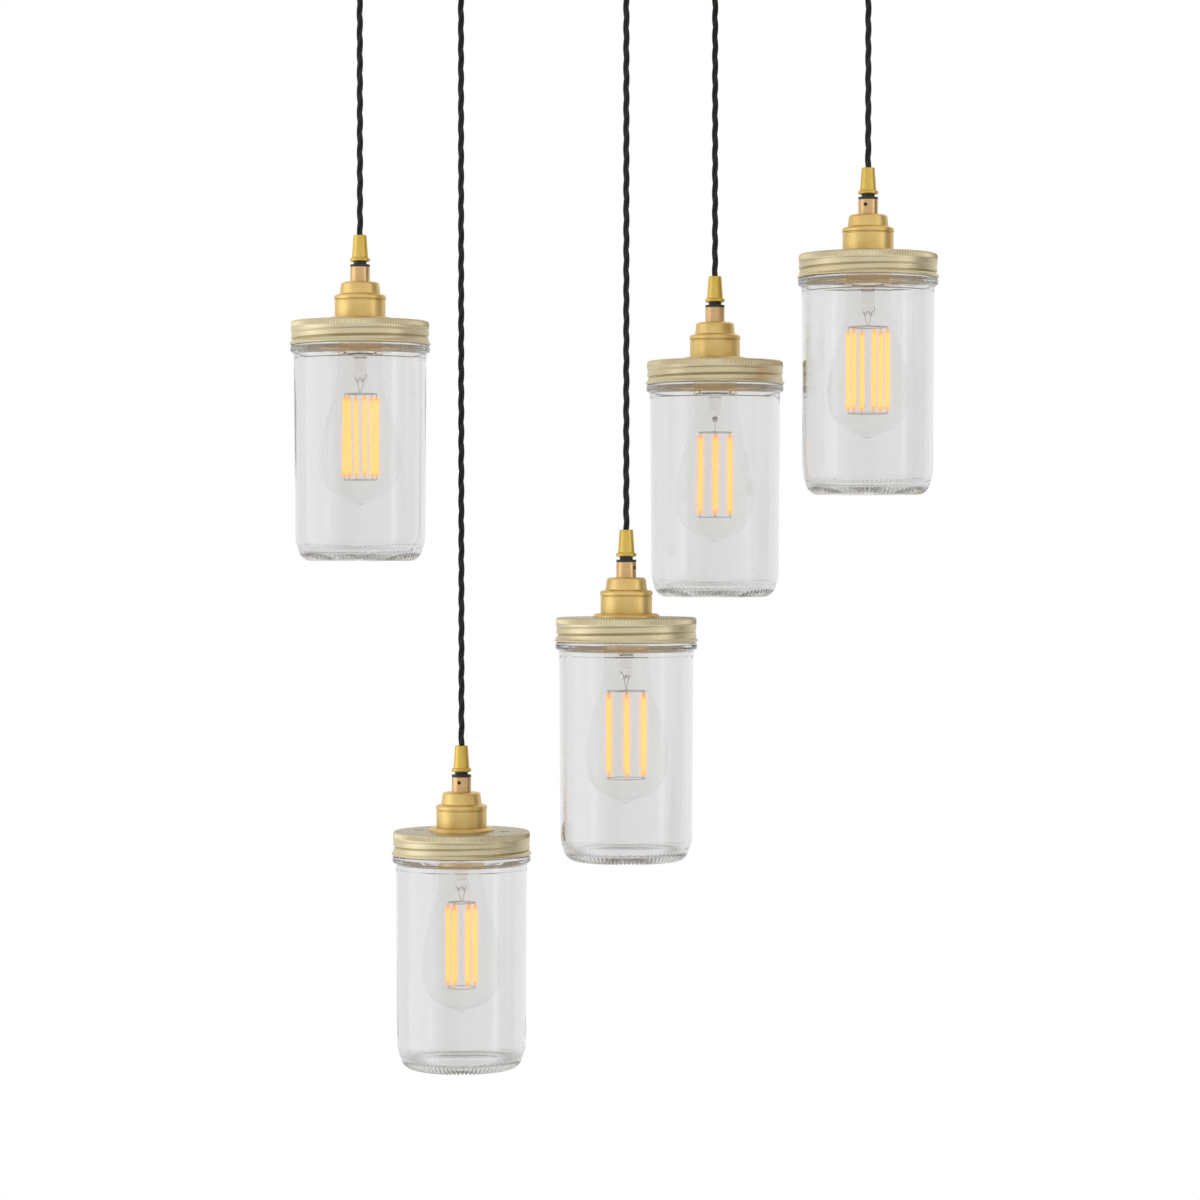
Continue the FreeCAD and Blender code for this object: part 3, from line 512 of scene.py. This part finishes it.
MATERIALS = {
    "brass": satin_metal("brass", (0.71, 0.515, 0.205), (0.64, 0.445, 0.15), 0.40),
    "canopy_brass": satin_metal("canopy_brass", (0.82, 0.60, 0.27), (0.74, 0.52, 0.20), 0.34, (30, 1, 1)),
    "grip_brass": satin_metal("grip_brass", (0.65, 0.46, 0.115), (0.59, 0.40, 0.08), 0.40),
    "dark_steel": satin_metal("dark_steel", (0.055, 0.05, 0.042), (0.04, 0.036, 0.03), 0.35),
    "rose_brass": satin_metal("rose_brass", (0.63, 0.42, 0.21), (0.56, 0.36, 0.165), 0.30),
    "lit_brass": lit_brass(),
    "lid_gold": satin_metal("lid_gold", (0.63, 0.555, 0.37), (0.60, 0.52, 0.335), 0.42, (1, 1, 3), 0.000004),
    # a darker copy of the lid's gold for its top face: painted shade
    "lid_top_painted_shade": satin_metal("lid_top_painted_shade", (0.42, 0.37, 0.24), (0.38, 0.33, 0.20), 0.40, (3, 1, 1), 0.000008),
    # the lid's inner lacquer, with a painted glow of the bulb's light
    "lid_lacquer_painted_glow": lit_lacquer(),
    "nickel": satin_metal("nickel", (0.62, 0.60, 0.57), (0.50, 0.47, 0.43), 0.28),
    "bracket_steel": satin_metal("bracket_steel", (0.60, 0.61, 0.62), (0.48, 0.49, 0.51), 0.42, (20, 1, 1)),
    # the jar's last colour is the painted shade between the ribs round its foot
    "jar_glass": jar_glass("jar_glass", (0.68, 0.68, 0.675), (0.77, 0.77, 0.78), (0.42, 0.41, 0.29)),
    "jar_inside": jar_glass("jar_inside", (0.985, 0.985, 0.985), (1.0, 1.0, 1.0)),
    "bulb_glass": bulb_glass("bulb_glass", (0.965, 0.965, 0.955), (0.985, 0.985, 0.98)),
    "stem_glass": bulb_glass("stem_glass", (0.965, 0.94, 0.925), (0.98, 0.96, 0.95)),
    "filament": lit_stick(),
    # painted glow round the lit sticks, in two shells
    "led_coat": painted_halo("led_coat", 0.12),
    "led_glow": painted_halo("led_glow", 0.12),
    "cord_fabric": cord_fabric(),
    "black_plastic": moulded_plastic("black_plastic", (0.010, 0.009, 0.009), (0.018, 0.016, 0.015), 0.45),
    "terminal_plastic": moulded_plastic("terminal_plastic", (0.74, 0.73, 0.70), (0.82, 0.81, 0.78), 0.5),
}


# Pieces of one pendant

def add_piece(name, mesh, slot, body, place=(0, 0, 0)):
    """A piece of the object, with its material, on the body that it rides."""
    piece = bpy.data.objects.new(name, mesh)
    scene.collection.objects.link(piece)
    piece.location = place
    if not mesh.materials:
        mesh.materials.append(MATERIALS[slot])
    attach(piece, body)
    return piece


def cord_grip_mesh():
    """The brass cone on the cord: a rounded flange, a fine ledge and a tapering cone."""
    flange, _, top = span("cord_grip")
    bush_top = span("grip_bush")[2]
    ledge = bush_top + GRIP_FLANGE
    ledge_radius, cone_low, cone_top = 6.6, 6.35, 5.15
    return turned("grip", section([
        (GRIP_BORE, bush_top), (flange, bush_top, 1.2), (flange, ledge, 1.2), (ledge_radius, ledge, 0.2),
        (cone_low, ledge + 0.9, 0.3), (cone_top, top, 0.9), (GRIP_BORE, top, 0.5)]), steps=64)


def sleeve_mesh():
    """The rosy tube on the lampholder, with a hole in its side for the set screw."""
    radius, _, top = span("entry_sleeve")
    bore, foot = radius - 2.15, CAP_TOP - 1.0
    tube = turned("sleeve", section([
        (bore, CAP_TOP + 1.5), (bore, foot), (radius, foot), (radius, top, METAL_EDGE),
        (bore, top, METAL_EDGE)]), steps=64)
    hole = top - SET_SCREW_DROP
    drill = mesh_of("drill", [tube_grid([(0, -radius - 1, hole), (0, -bore + 1, hole)], SET_SCREW_HOLE, 20)])
    return drilled(tube, [drill])


def set_screw_mesh():
    """A slotted grub screw, a little below the surface of the sleeve."""
    radius, _, top = span("entry_sleeve")
    face, hole = -radius + 0.35, top - SET_SCREW_DROP
    length, slot_half, slot_deep = 2.0, 0.22, 0.5
    ends = [(0, face, hole), (0, face + length, hole)]
    body = mesh_of("set_screw", [tube_grid(ends, SET_SCREW_RADIUS, 20)])
    corners = [(x, y, z) for x in (-2, 2) for y in (face - 1, face + slot_deep)
               for z in (hole - slot_half, hole + slot_half)]
    faces = [(0, 1, 3, 2), (4, 6, 7, 5), (0, 4, 5, 1), (2, 3, 7, 6), (0, 2, 6, 4), (1, 5, 7, 3)]
    return drilled(body, [mesh_of("slot", [(corners, faces)])])


def lampholder_mesh():
    """The stepped cap with its rolled lip, the barrel, the ring above the lid and the nut below it."""
    ring, low, _ = span("holder_shell")
    bore = THREAD_RADIUS + THREAD_CLEARANCE
    spigot, spigot_low = SKIRT_BORE - THREAD_CLEARANCE, LIP_LOW - 4.0
    inside_low, inside_top = 14.1, 13.4
    groove = SKIRT_RADIUS - 0.45
    nut_low = -LID_WALL - RING_NUT_HEIGHT
    cap = section([
        (CAP_BORE, CAP_TOP - 1.5), (inside_top, CAP_TOP - 1.5, 1.5), (inside_low, LIP_TOP - 1.5),
        (inside_low, spigot_low), (spigot, spigot_low), (spigot, LIP_LOW), (SKIRT_RADIUS - 0.3, LIP_LOW),
        (SKIRT_RADIUS + 0.5, LIP_LOW + 0.4, 0.3), (SKIRT_RADIUS + 0.4, LIP_TOP - 0.6, 1.9),
        (CAP_RADIUS + 0.5, LIP_TOP + 0.5, 0.8), (CAP_TOP_RADIUS, CAP_TOP - 0.1, 2.6),
        (CAP_BORE, CAP_TOP, 0.2)])
    barrel = section([
        (SKIRT_BORE, low), (THREAD_RADIUS, low, METAL_EDGE), (THREAD_RADIUS, -LID_WALL),
        (THREAD_RADIUS, RING_HEIGHT), (SKIRT_RADIUS, RING_HEIGHT, METAL_EDGE),
        (SKIRT_RADIUS, LIP_LOW - 1.0, 0.3), (groove, LIP_LOW - 0.6, 0.2), (groove, LIP_LOW),
        (SKIRT_BORE, LIP_LOW)])
    upper_ring = section([
        (bore, 0), (ring, 0), (ring, 1.2, METAL_EDGE), (ring - 2.0, RING_HEIGHT, METAL_EDGE),
        (bore, RING_HEIGHT)])
    nut = section([
        (bore, nut_low), (RING_NUT_RADIUS, nut_low, 0.8), (RING_NUT_RADIUS, -LID_WALL, METAL_EDGE),
        (bore, -LID_WALL)])
    mesh = turned("lampholder", cap, barrel, upper_ring, nut)
    # the brass below the lid gets the painted glow of the bulb's light
    for look in ("brass", "lit_brass"):
        mesh.materials.append(MATERIALS[look])
    for face in mesh.polygons:
        face.material_index = int(face.center.z < -LID_WALL * MM)
    return mesh


def thin_flat(points, radius):
    """The points without those on a flat inside a radius, apart from the innermost."""
    innermost = min(r for r, _ in points)
    return [(r, z) for r, z in points if r > radius or r < innermost + 0.01]


def lid_mesh():
    """The screw lid: knurled band, rolled thread, curled edge and two vent holes."""
    widest, low, _ = span("jar_lid")
    band = widest - 0.8
    curl = band + 1.2
    wall = band - 0.05
    inside = wall - LID_THREAD_DEPTH - LID_WALL
    thread_low, thread_high = low + 2.9, -LID_BAND
    first_groove = -15.2
    # shares of the thread's lead, and of its depth there
    groove = [(0.0, 1.0), (0.06, 0.94), (0.13, 0.5), (0.2, 0.1),
              (0.3, 0.0), (0.84, 0.36), (0.93, 0.62), (1.0, 1.0)]
    bore = THREAD_RADIUS + THREAD_CLEARANCE

    def rolled(angles, radii, heights):
        outside = radii > wall - 0.1
        ridges = 0.5 + 0.5 * np.cos(LID_RIDGES * angles)
        knurl = window(heights, 0.8 - LID_BAND, -0.7, 0.5) * (ridges - 1) * KNURL_DEPTH
        share = ((heights - first_groove) / LID_THREAD_LEAD - angles / TURN) % 1.0
        deep = LID_THREAD_DEPTH * np.clip((thread_high - 2.5 - heights) / 4.0, 0.4, 1.0)
        thread = window(heights, thread_low, thread_high, 1.0) * deep * np.interp(share, *zip(*groove))
        return radii + outside * (knurl - thread), heights

    def kept(number, radius, height):
        """All of the thread's points, a third of the others outside and a ninth of those inside."""
        on_thread = radius > wall - 0.1 and thread_low < height < thread_high
        return on_thread or number % (3 if radius > inside + 1.0 else 9) == 0

    outline = section([
        (bore, -LID_WALL), (inside, -LID_WALL, 1.0), (inside, low + 0.2), (inside + 0.8, low, 0.2),
        (curl - 0.9, low, 0.3), (curl, low + 0.8, 0.3), (curl, low + 1.4, 0.3), (wall, thread_low, 0.6),
        (wall, thread_high), (band, thread_high + 0.4), (band, 0, 2.0), (bore, 0)], longest=0.14)
    outline = [point for number, point in enumerate(outline) if kept(number, *point)]
    lid = turned("lid", thin_flat(outline, inside - 1.5), steps=4 * LID_RIDGES, shape=rolled)
    vents = [mesh_of("vent", [tube_grid([(x, 0, -2 * LID_WALL), (x, 0, LID_WALL)], VENT_RADIUS, 40)])
             for x in (-VENT_OFFSET, VENT_OFFSET)]
    lid = drilled(lid, vents)
    looks = ("lid_gold", "lid_top_painted_shade", "lid_lacquer_painted_glow")
    for look in looks:
        lid.materials.append(MATERIALS[look])
    for face in lid.polygons:
        radius = face.center.xy.length / MM
        under = face.normal.z < -0.5 and radius < inside + 0.1
        inward = abs(radius - inside) < 1.2 and face.normal.dot(face.center.normalized()) < 0
        # the top face gets the darker copy of the gold, painted shade
        if face.normal.z > 0.9 and face.center.z > -LID_WALL * MM / 2:
            face.material_index = looks.index("lid_top_painted_shade")
        # under the lid and on its inner wall: the lacquer with the painted glow
        elif under or inward:
            face.material_index = looks.index("lid_lacquer_painted_glow")
    return lid


def jar_mesh():
    """The jar: threaded neck, bead, moulding line, straight sides, ribbed foot and pushed-up base."""
    widest, low, rim = span("jar")
    bead = widest - 1.6
    bead_top, bead_low = -19.4, -24.2
    inside_low, inside_top = JAR_BODY_LOW - JAR_WALL, JAR_BODY_TOP - JAR_WALL
    mouth = JAR_NECK - JAR_WALL
    rim_middle = (mouth + JAR_NECK) / 2
    foot_ring = JAR_BODY_LOW - JAR_CORNER - 5.0
    flat = JAR_BODY_LOW - 6.0
    floor_top = low + 7.0
    line = -30.0

    def pressed(angles, radii, heights):
        threaded = window(heights, bead_top + 1.2, rim - 3.2, 1.5) * (np.abs(radii - JAR_NECK) < 0.05)
        thread = threaded * JAR_THREAD_DEPTH * helix_ridge(angles, heights, LID_THREAD_LEAD, bead_top)
        wall = window(heights, floor_top + 14, bead_low - 4, 12) * (radii < inside_top + 0.05)
        uneven = wall * (0.16 * np.sin(2 * angles + 0.8) + 0.10 * np.sin(5 * angles + heights / 40))
        ribbed = window(radii, foot_ring + 4.0, JAR_BODY_LOW - 2.0, 1.5) * (heights < low + 6.0)
        ribs = ribbed * (0.5 + 0.5 * np.cos(BASE_RIBS * angles)) ** 2
        return radii + thread + uneven - 0.5 * ribs, heights + 1.3 * ribs

    neck_rows = [(JAR_NECK, height) for height in np.arange(bead_top + 1.6, rim - 1.8, 0.9)]
    outside = section([
        (0, low + 4.0), (foot_ring, low, 6.0), (flat, low, 9.0), (JAR_BODY_LOW, low + 14.0, 30.0),
        (JAR_BODY_TOP - 0.1, line - 0.8, 0.3), (JAR_BODY_TOP - 0.35, line, 0.3),
        (JAR_BODY_TOP, line + 0.8, 0.3), (JAR_BODY_TOP, bead_low - 1.5, 1.0), (bead, bead_low, 2.0),
        (bead, bead_top, 1.7), (JAR_NECK, bead_top, 0.8), *neck_rows, (JAR_NECK, rim, 1.2),
        (rim_middle, rim)], closed=False, longest=8.0, arc_degrees=8)
    inside = section([
        (rim_middle, rim), (mouth, rim, 1.2), (mouth, bead_top, 3.0), (inside_top, bead_low, 3.0),
        (inside_low, floor_top + 8.0, 20.0), (flat - 2.7, floor_top - 0.5, 6.0), (0, floor_top - 1.0)],
        closed=False, longest=8.0, arc_degrees=8)
    steps = 6 * BASE_RIBS
    mesh = mesh_of("jar", [turned_grid(points, steps, False, pressed) for points in (outside, inside)],
                   materials=True)
    for look in ("jar_glass", "jar_inside"):
        mesh.materials.append(MATERIALS[look])
    return mesh


def bulb_mesh():
    """The bulb: a thin sealed envelope with a pip at its foot, and a pinched stem inside it."""
    _, low, top = span("bulb_glass")
    collar = span("bulb_cap")[1] - 0.2
    belly, neck_top, neck_low = 32.9, collar - 1.6, -49.9
    plug, neck, neck_out = 12.2, 17.6, 19.0
    belly_z, foot = low + 45.0, belly - 1.2
    dome, flank, waist = 30.0, 90.0, 120.0
    pip_deep, pip_radius = 2.2, 4.5
    stem, stem_hollow = 5.2, STEM_TIP + 9.0
    wall = BULB_WALL
    steps = 160
    outer = section([
        (0, low), (foot, low, dome), (belly, belly_z, flank), (neck_out, neck_low, waist),
        (neck, neck_top, 2.0), (plug, collar), (plug, top), (0, top)],
        closed=False, longest=2.0, arc_degrees=2)
    inner = section([
        (0, STEM_TIP), (stem, STEM_TIP, 1.2), (stem, neck_top - 4.0, 3.0),
        (neck - wall, neck_top - wall, 2.0), (neck_out - wall, neck_low, waist + wall),
        (belly - wall, belly_z, flank - wall), (foot - wall, low + wall, dome - wall), (0, low + wall)],
        closed=False, longest=2.0, arc_degrees=2)
    hollow = section([
        (0, top - wall), (plug - wall, top - wall), (plug - wall, neck_top - 1.2, 1.0),
        (stem - wall, neck_top - 3.0, 2.0), (stem - wall, stem_hollow, 2.5), (0, stem_hollow)],
        closed=False, longest=2.0, arc_degrees=4)

    def pinched(angles, radii, heights):
        on_stem = (radii < stem + 0.1) & (heights > STEM_TIP - 0.1)
        press = np.clip((STEM_TIP + 8.0 - heights) / 5.0, 0, 1) * on_stem
        wide, thin = 1 + 0.1 * press, 1 - 0.6 * press
        flat = 1 / np.sqrt((np.cos(angles) / wide) ** 2 + (np.sin(angles) / thin) ** 2)
        pip = pip_deep * np.exp(-(radii / pip_radius) ** 2) * (heights < low + 6.0)
        return radii * flat, heights - pip

    envelope = [turned_grid(points, steps, False, pinched) for points in (outer, inner)]
    mesh = mesh_of("bulb", [*envelope, turned_grid(hollow, steps, False)])
    for look in ("bulb_glass", "stem_glass"):
        mesh.materials.append(MATERIALS[look])
    for face in mesh.polygons:
        in_stem = STEM_TIP - 0.1 < face.center.z / MM < neck_top - 4.0
        face.material_index = int(in_stem and face.center.xy.length / MM < stem + 1.5)
    return mesh


def lamp_cap_mesh():
    """The screw cap of the bulb, with its rolled thread."""
    radius, rim, _ = span("bulb_cap")
    shoulder = rim + 22.0
    wall = 0.8
    inside = radius - wall - SCREW_DEPTH
    top_hole = 5.6

    def rolled(angles, radii, heights):
        outside = window(heights, rim + 1.0, shoulder - 2.2, 0.8) * (radii > radius - 0.1)
        thread = SCREW_DEPTH * (helix_ridge(angles, heights, SCREW_LEAD, rim) - 1)
        return radii + outside * thread, heights

    outline = section([
        (inside, rim), (radius, rim, 0.3), (radius, shoulder, 1.6), (top_hole, shoulder + 2.6, 0.6),
        (top_hole, shoulder + 1.8), (inside, shoulder - wall)], longest=0.6)
    return turned("lamp_cap", outline, steps=72, shape=rolled)


def lamp_contact_mesh():
    """The contact on top of the cap."""
    top = span("bulb_cap")[2]
    return turned("lamp_contact", section([
        (1.0, top - 1.9), (5.0, top - 1.9, 0.3), (5.0, top - 0.7, 0.6), (2.6, top, 0.6), (1.0, top)]),
        steps=48)


def lamp_insulator_mesh():
    """The black glass between the cap and its contact."""
    top = span("bulb_cap")[2]
    return turned("lamp_insulator", section([
        (1.0, top - 4.0), (8.2, top - 4.0), (6.6, top - 1.6, 0.4), (1.0, top - 1.4)]), steps=48)


def stick_places(pendant):
    """Each lit stick's two ends, a little out of true as hand-set filaments are."""
    spread_mm = 0.5
    draw = random.Random(7 + pendant)
    low = span("filaments")[1]
    ring = STICK_RINGS[pendant]
    places = []
    for i in range(STICKS):
        angle = TURN * i / STICKS + math.radians(STICK_DEGREES[pendant])
        ends = []
        for end in STICK_ENDS:
            ends.append(Vector((ring * math.cos(angle) + draw.uniform(-spread_mm, spread_mm),
                                ring * math.sin(angle) + draw.uniform(-spread_mm, spread_mm), low + end)))
        places.append(ends)
    return places


def stick_tubes(pendant, radius, sides, count, bluntness):
    """A round-ended tube along the lit length of each stick."""
    least = 0.08
    radii = [radius * math.sqrt(max(least, 1 - abs(2 * i / count - 1) ** bluntness))
             for i in range(count + 1)]
    parts = []
    for low, top in stick_places(pendant):
        along = (top - low).normalized()
        start, end = low + along * STICK_TAB, top - along * STICK_TAB
        points = [start.lerp(end, i / count) for i in range(count + 1)]
        parts.append(tube_grid(points, radii, sides))
    return parts


def led_sticks_mesh(pendant):
    """Six lit sticks, with their length along the second texture coordinate."""
    sides, count = 12, 40
    mesh = mesh_of("led_sticks", stick_tubes(pendant, STICK_RADIUS, sides, count, bluntness=90), 60)
    lay_coordinates(mesh, sides, count + 1, 1.0, 1.0)
    return mesh


def led_halos_mesh(pendant):
    """A painted halo of glow round each lit stick."""
    return mesh_of("led_halos", stick_tubes(pendant, HALO_RADIUS, sides=20, count=30, bluntness=60), 60)


def led_glow_mesh(pendant):
    """The wider and fainter painted glow round each lit stick."""
    return mesh_of("led_glow", stick_tubes(pendant, GLOW_RADIUS, sides=24, count=30, bluntness=40), 60)


def led_wires_mesh(pendant):
    """The two wire rings, the sticks' tabs, the leads that meet over the upper ring, and the stem's hooks."""
    places = stick_places(pendant)
    ring = STICK_RINGS[pendant]
    bends = [i / 6 for i in range(7)]
    parts = []
    for ends, sign in ((0, 1), (1, -1)):
        level = places[0][ends].z
        parts.append(tube_grid(ring_points(ring, level), WIRE_RADIUS, 8))
        for stick in places:
            along = (stick[1] - stick[0]).normalized() * sign
            parts.append(tube_grid([stick[ends], stick[ends] + along * (STICK_TAB + 0.6)], 0.4, 6))
    ring_top = places[0][1].z
    for side in (1, -1):
        parts.append(tube_grid([
            (side * 2.4, 0, STEM_TIP + 1.5), (side * 2.4, 0, STEM_TIP - 0.8),
            (side * 0.4, 0, ring_top + 0.9), (side * 1.2, 0, ring_top + 0.3), (side * ring, 0, ring_top)],
            WIRE_RADIUS, 8))
        hook = [(side * (0.3 + 3.6 * bend), 0, STEM_TIP + 2.4 + 1.5 * math.cos(TURN * bend))
                for bend in bends]
        parts.append(tube_grid(hook, 1.3 * WIRE_RADIUS, 8))
    return mesh_of("led_wires", parts, 60)


# kind of piece: its mesh, material slot, body and the nodes that it stands for
PIECES = {
    "grip": (cord_grip_mesh(), "grip_brass", "head", ["cord_grip"]),
    "sleeve": (sleeve_mesh(), "rose_brass", "head", ["entry_sleeve"]),
    "set_screw": (set_screw_mesh(), "dark_steel", "head", []),
    "lampholder": (lampholder_mesh(), "brass", "head", ["holder_shell"]),
    "lid": (lid_mesh(), "lid_gold", "head", ["jar_lid"]),
    "glass_jar": (jar_mesh(), "jar_glass", "screw_jar", ["jar"]),
    "lamp_cap": (lamp_cap_mesh(), "nickel", "bulb_base", ["bulb_cap"]),
    "lamp_contact": (lamp_contact_mesh(), "grip_brass", "bulb_base", []),
    "lamp_insulator": (lamp_insulator_mesh(), "black_plastic", "bulb_base", []),
    "bulb_envelope": (bulb_mesh(), "bulb_glass", "bulb", ["bulb_glass"]),
}
# the same for filaments, which differ from bulb to bulb
FILAMENT_PIECES = {
    "led_sticks": (led_sticks_mesh, "filament", "bulb", ["filaments"]),
    "led_halos": (led_halos_mesh, "led_coat", "bulb", []),
    "led_glow": (led_glow_mesh, "led_glow", "bulb", []),
    "led_wires": (led_wires_mesh, "nickel", "bulb", []),
}

for pendant in PENDANTS:
    facing = Matrix.Rotation(math.radians(FACING_DEGREES[pendant]), 4, "Z")
    pieces = {kind: (mesh.copy(), *rest) for kind, (mesh, *rest) in PIECES.items()}
    pieces |= {kind: (make(pendant), *rest) for kind, (make, *rest) in FILAMENT_PIECES.items()}
    for kind, (faced, slot, body, nodes) in pieces.items():
        faced.transform(facing)
        piece = add_piece(f"{kind}_{pendant}", faced, slot, f"{body}_{pendant}", LIDS[pendant])
        if nodes:
            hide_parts(*[f"{node}_{pendant}" for node in nodes])


# Cords

def route_points(controls):
    """Points along a smooth curve through a route's ends, near its other points."""
    curve = bpy.data.curves.new("route", "CURVE")
    curve.dimensions = "3D"
    curve.resolution_u = 40
    spline = curve.splines.new("NURBS")
    spline.points.add(len(controls) - 1)
    for point, place in zip(spline.points, controls):
        point.co = (*place, 1)
    spline.order_u = 3
    spline.use_endpoint_u = True
    holder = bpy.data.objects.new("route", curve)
    line = bpy.data.meshes.new_from_object(holder)
    points = [v.co.copy() for v in line.vertices]
    bpy.data.objects.remove(holder)
    bpy.data.curves.remove(curve)
    bpy.data.meshes.remove(line)
    return points


def evenly(points, step):
    """Points an even step apart along a line of points."""
    points = np.array(points)
    lengths = np.concatenate([[0], np.cumsum(np.linalg.norm(np.diff(points, axis=0), axis=1))])
    count = math.ceil(lengths[-1] / step)
    marks = np.linspace(0, lengths[-1], count + 1)
    return np.stack([np.interp(marks, lengths, points[:, axis]) for axis in range(3)], axis=1), marks


def twisted_cord(pendant):
    """Three fabric strands laid round each other along the cord's route."""
    low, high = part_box(f"cord_{pendant}")
    middle = ((low.x + high.x) / 2, (low.y + high.y) / 2)
    route = [Vector((*middle, high.z)), Vector((*middle, (low.z + high.z) / 2)), Vector((*middle, low.z))]
    path, marks = evenly(route_points(route), LAY_PITCH * MM / POINTS_PER_LAY)
    sides = 12
    start = pendant / 7
    parts = []
    for strand in range(STRANDS):
        angles = TURN * (marks / (LAY_PITCH * MM) + strand / STRANDS + start)
        offsets = np.stack([np.cos(angles), -np.sin(angles), np.zeros(len(angles))], axis=1) * LAY_RADIUS
        parts.append(tube_grid(path / MM + offsets, STRAND_RADIUS, sides))
    mesh = mesh_of(f"cord_mesh_{pendant}", parts, 60)
    lay_coordinates(mesh, sides, len(path), TURN * STRAND_RADIUS, marks[-1] / MM)
    cord = add_piece(f"twisted_cord_{pendant}", mesh, "cord_fabric", f"hanging_cord_{pendant}")
    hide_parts(f"cord_{pendant}")


for pendant in PENDANTS:
    twisted_cord(pendant)


# Nodes that keep their shape

KEPT = {"canopy_cover": "canopy_brass", "ceiling_bracket": "bracket_steel", "cover_nuts": "brass",
        "outlet_grips": "grip_brass", "terminal_block": "terminal_plastic"}
for pendant in PENDANTS:
    KEPT[f"grip_bush_{pendant}"] = "black_plastic"
    KEPT[f"socket_insert_{pendant}"] = "black_plastic"
for name, slot in KEPT.items():
    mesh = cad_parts[name].data
    mesh.materials.clear()
    mesh.materials.append(MATERIALS[slot])


# Studio

def make_camera():
    """The photograph's viewpoint."""
    camera = bpy.data.objects.new("camera", bpy.data.cameras.new("camera"))
    camera.data.sensor_width = CAMERA_SENSOR
    camera.data.lens = CAMERA_LENS
    camera.location = CAMERA_PLACE
    camera.rotation_euler = (math.radians(90 - CAMERA_TILT_DEGREES), 0, 0)
    scene.collection.objects.link(camera)
    scene.camera = camera


def make_world():
    """White where it is seen, reflected or looked through, and soft light on everything else."""
    soft_light = 0.75
    world = bpy.data.worlds.new("studio")
    world.use_nodes = True
    tree = world.node_tree
    tree.nodes.clear()
    path = add(tree, "LightPath").outputs
    seen = combine(tree, "MAXIMUM", path["Is Camera Ray"], path["Is Glossy Ray"])
    seen = combine(tree, "MAXIMUM", seen, path["Is Transmission Ray"])
    light = add(tree, "Background", {"Color": (1, 1, 1, 1), "Strength": soft_light})
    white = add(tree, "Background", {"Color": (1, 1, 1, 1), "Strength": 1.0})
    mixed = add(tree, "MixShader", {"Fac": seen, 1: light.outputs["Background"],
                                    2: white.outputs["Background"]})
    add(tree, "OutputWorld", {"Surface": mixed.outputs["Shader"]})
    scene.world = world


MIDDLE = Vector((0, 0, CAMERA_PLACE[2]))


def away_to(azimuth):
    """A level direction, from the light's front round to its right."""
    return Vector((math.sin(math.radians(azimuth)), -math.cos(math.radians(azimuth)), 0))


def make_card(name, middle, side, up, grey):
    """A card that only reflections see, from its middle and its two half sides."""
    mesh = bpy.data.meshes.new(name)
    corners = [middle - side - up, middle + side - up, middle + side + up, middle - side + up]
    mesh.from_pydata(corners, [], [(0, 1, 2, 3)])
    material, _, shader = new_material(name, Base_Color=(0, 0, 0, 1), Emission_Strength=grey)
    shader.inputs["Emission Color"].default_value = (1, 1, 1, 1)
    mesh.materials.append(material)
    card = bpy.data.objects.new(name, mesh)
    scene.collection.objects.link(card)
    card.visible_camera = False
    card.visible_diffuse = False
    card.visible_shadow = False
    card.visible_transmission = False


def upright_card(name, azimuth, distance, width, height, grey):
    """A card that stands round the light, and faces it."""
    away = away_to(azimuth)
    side = Vector((-away.y, away.x, 0)) * width / 2
    make_card(name, MIDDLE + away * distance, side, Vector((0, 0, height / 2)), grey)


def make_floor():
    """A pale floor under the light, which fades out into the white."""
    radius, soft_edge, level = 0.8, 0.4, -1.2
    steps = 96
    mesh = bpy.data.meshes.new("floor")
    mesh.from_pydata(ring_points(radius, level, steps)[:-1], [], [tuple(range(steps))])
    material, tree, shader = new_material("floor", Roughness=0.8)
    patches = noise(tree, (1, 1, 1), 6)
    join(tree, shader,
         Base_Color=ramp(tree, patches, [(0.3, (0.88, 0.88, 0.88)), (0.7, (0.92, 0.92, 0.92))]),
         Alpha=rise(tree, from_axis(tree), radius, radius - soft_edge))
    mesh.materials.append(material)
    floor = bpy.data.objects.new("floor", mesh)
    scene.collection.objects.link(floor)


def make_lamp(name, azimuth, distance, width, height, watts):
    """A soft upright lamp, placed and turned as a card is."""
    lamp = bpy.data.objects.new(name, bpy.data.lights.new(name, "AREA"))
    lamp.data.energy = watts
    lamp.data.shape = "RECTANGLE"
    lamp.data.size = width
    lamp.data.size_y = height
    lamp.location = MIDDLE + away_to(azimuth) * distance
    lamp.rotation_mode = "QUATERNION"
    lamp.rotation_quaternion = (MIDDLE - lamp.location).to_track_quat("-Z", "Y")
    scene.collection.objects.link(lamp)


make_camera()
make_world()
make_floor()
upright_card("front_card", azimuth=0, distance=3.0, width=4.6, height=4.0, grey=0.92)
upright_card("right_card", azimuth=95, distance=2.4, width=1.4, height=4.0, grey=0.2)
make_card("low_card", Vector((0, -2.2, -1.6)), side=Vector((2.5, 0, 0)), up=Vector((0, 1.3, 0)), grey=0.15)
make_lamp("key_lamp", azimuth=-82, distance=2.2, width=1.8, height=2.4, watts=10)
make_lamp("fill_lamp", azimuth=64, distance=2.2, width=0.4, height=2.4, watts=4)
scene.view_settings.view_transform = "Standard"
scene.cycles.max_bounces = 32
scene.cycles.glossy_bounces = 16
scene.cycles.transmission_bounces = 32
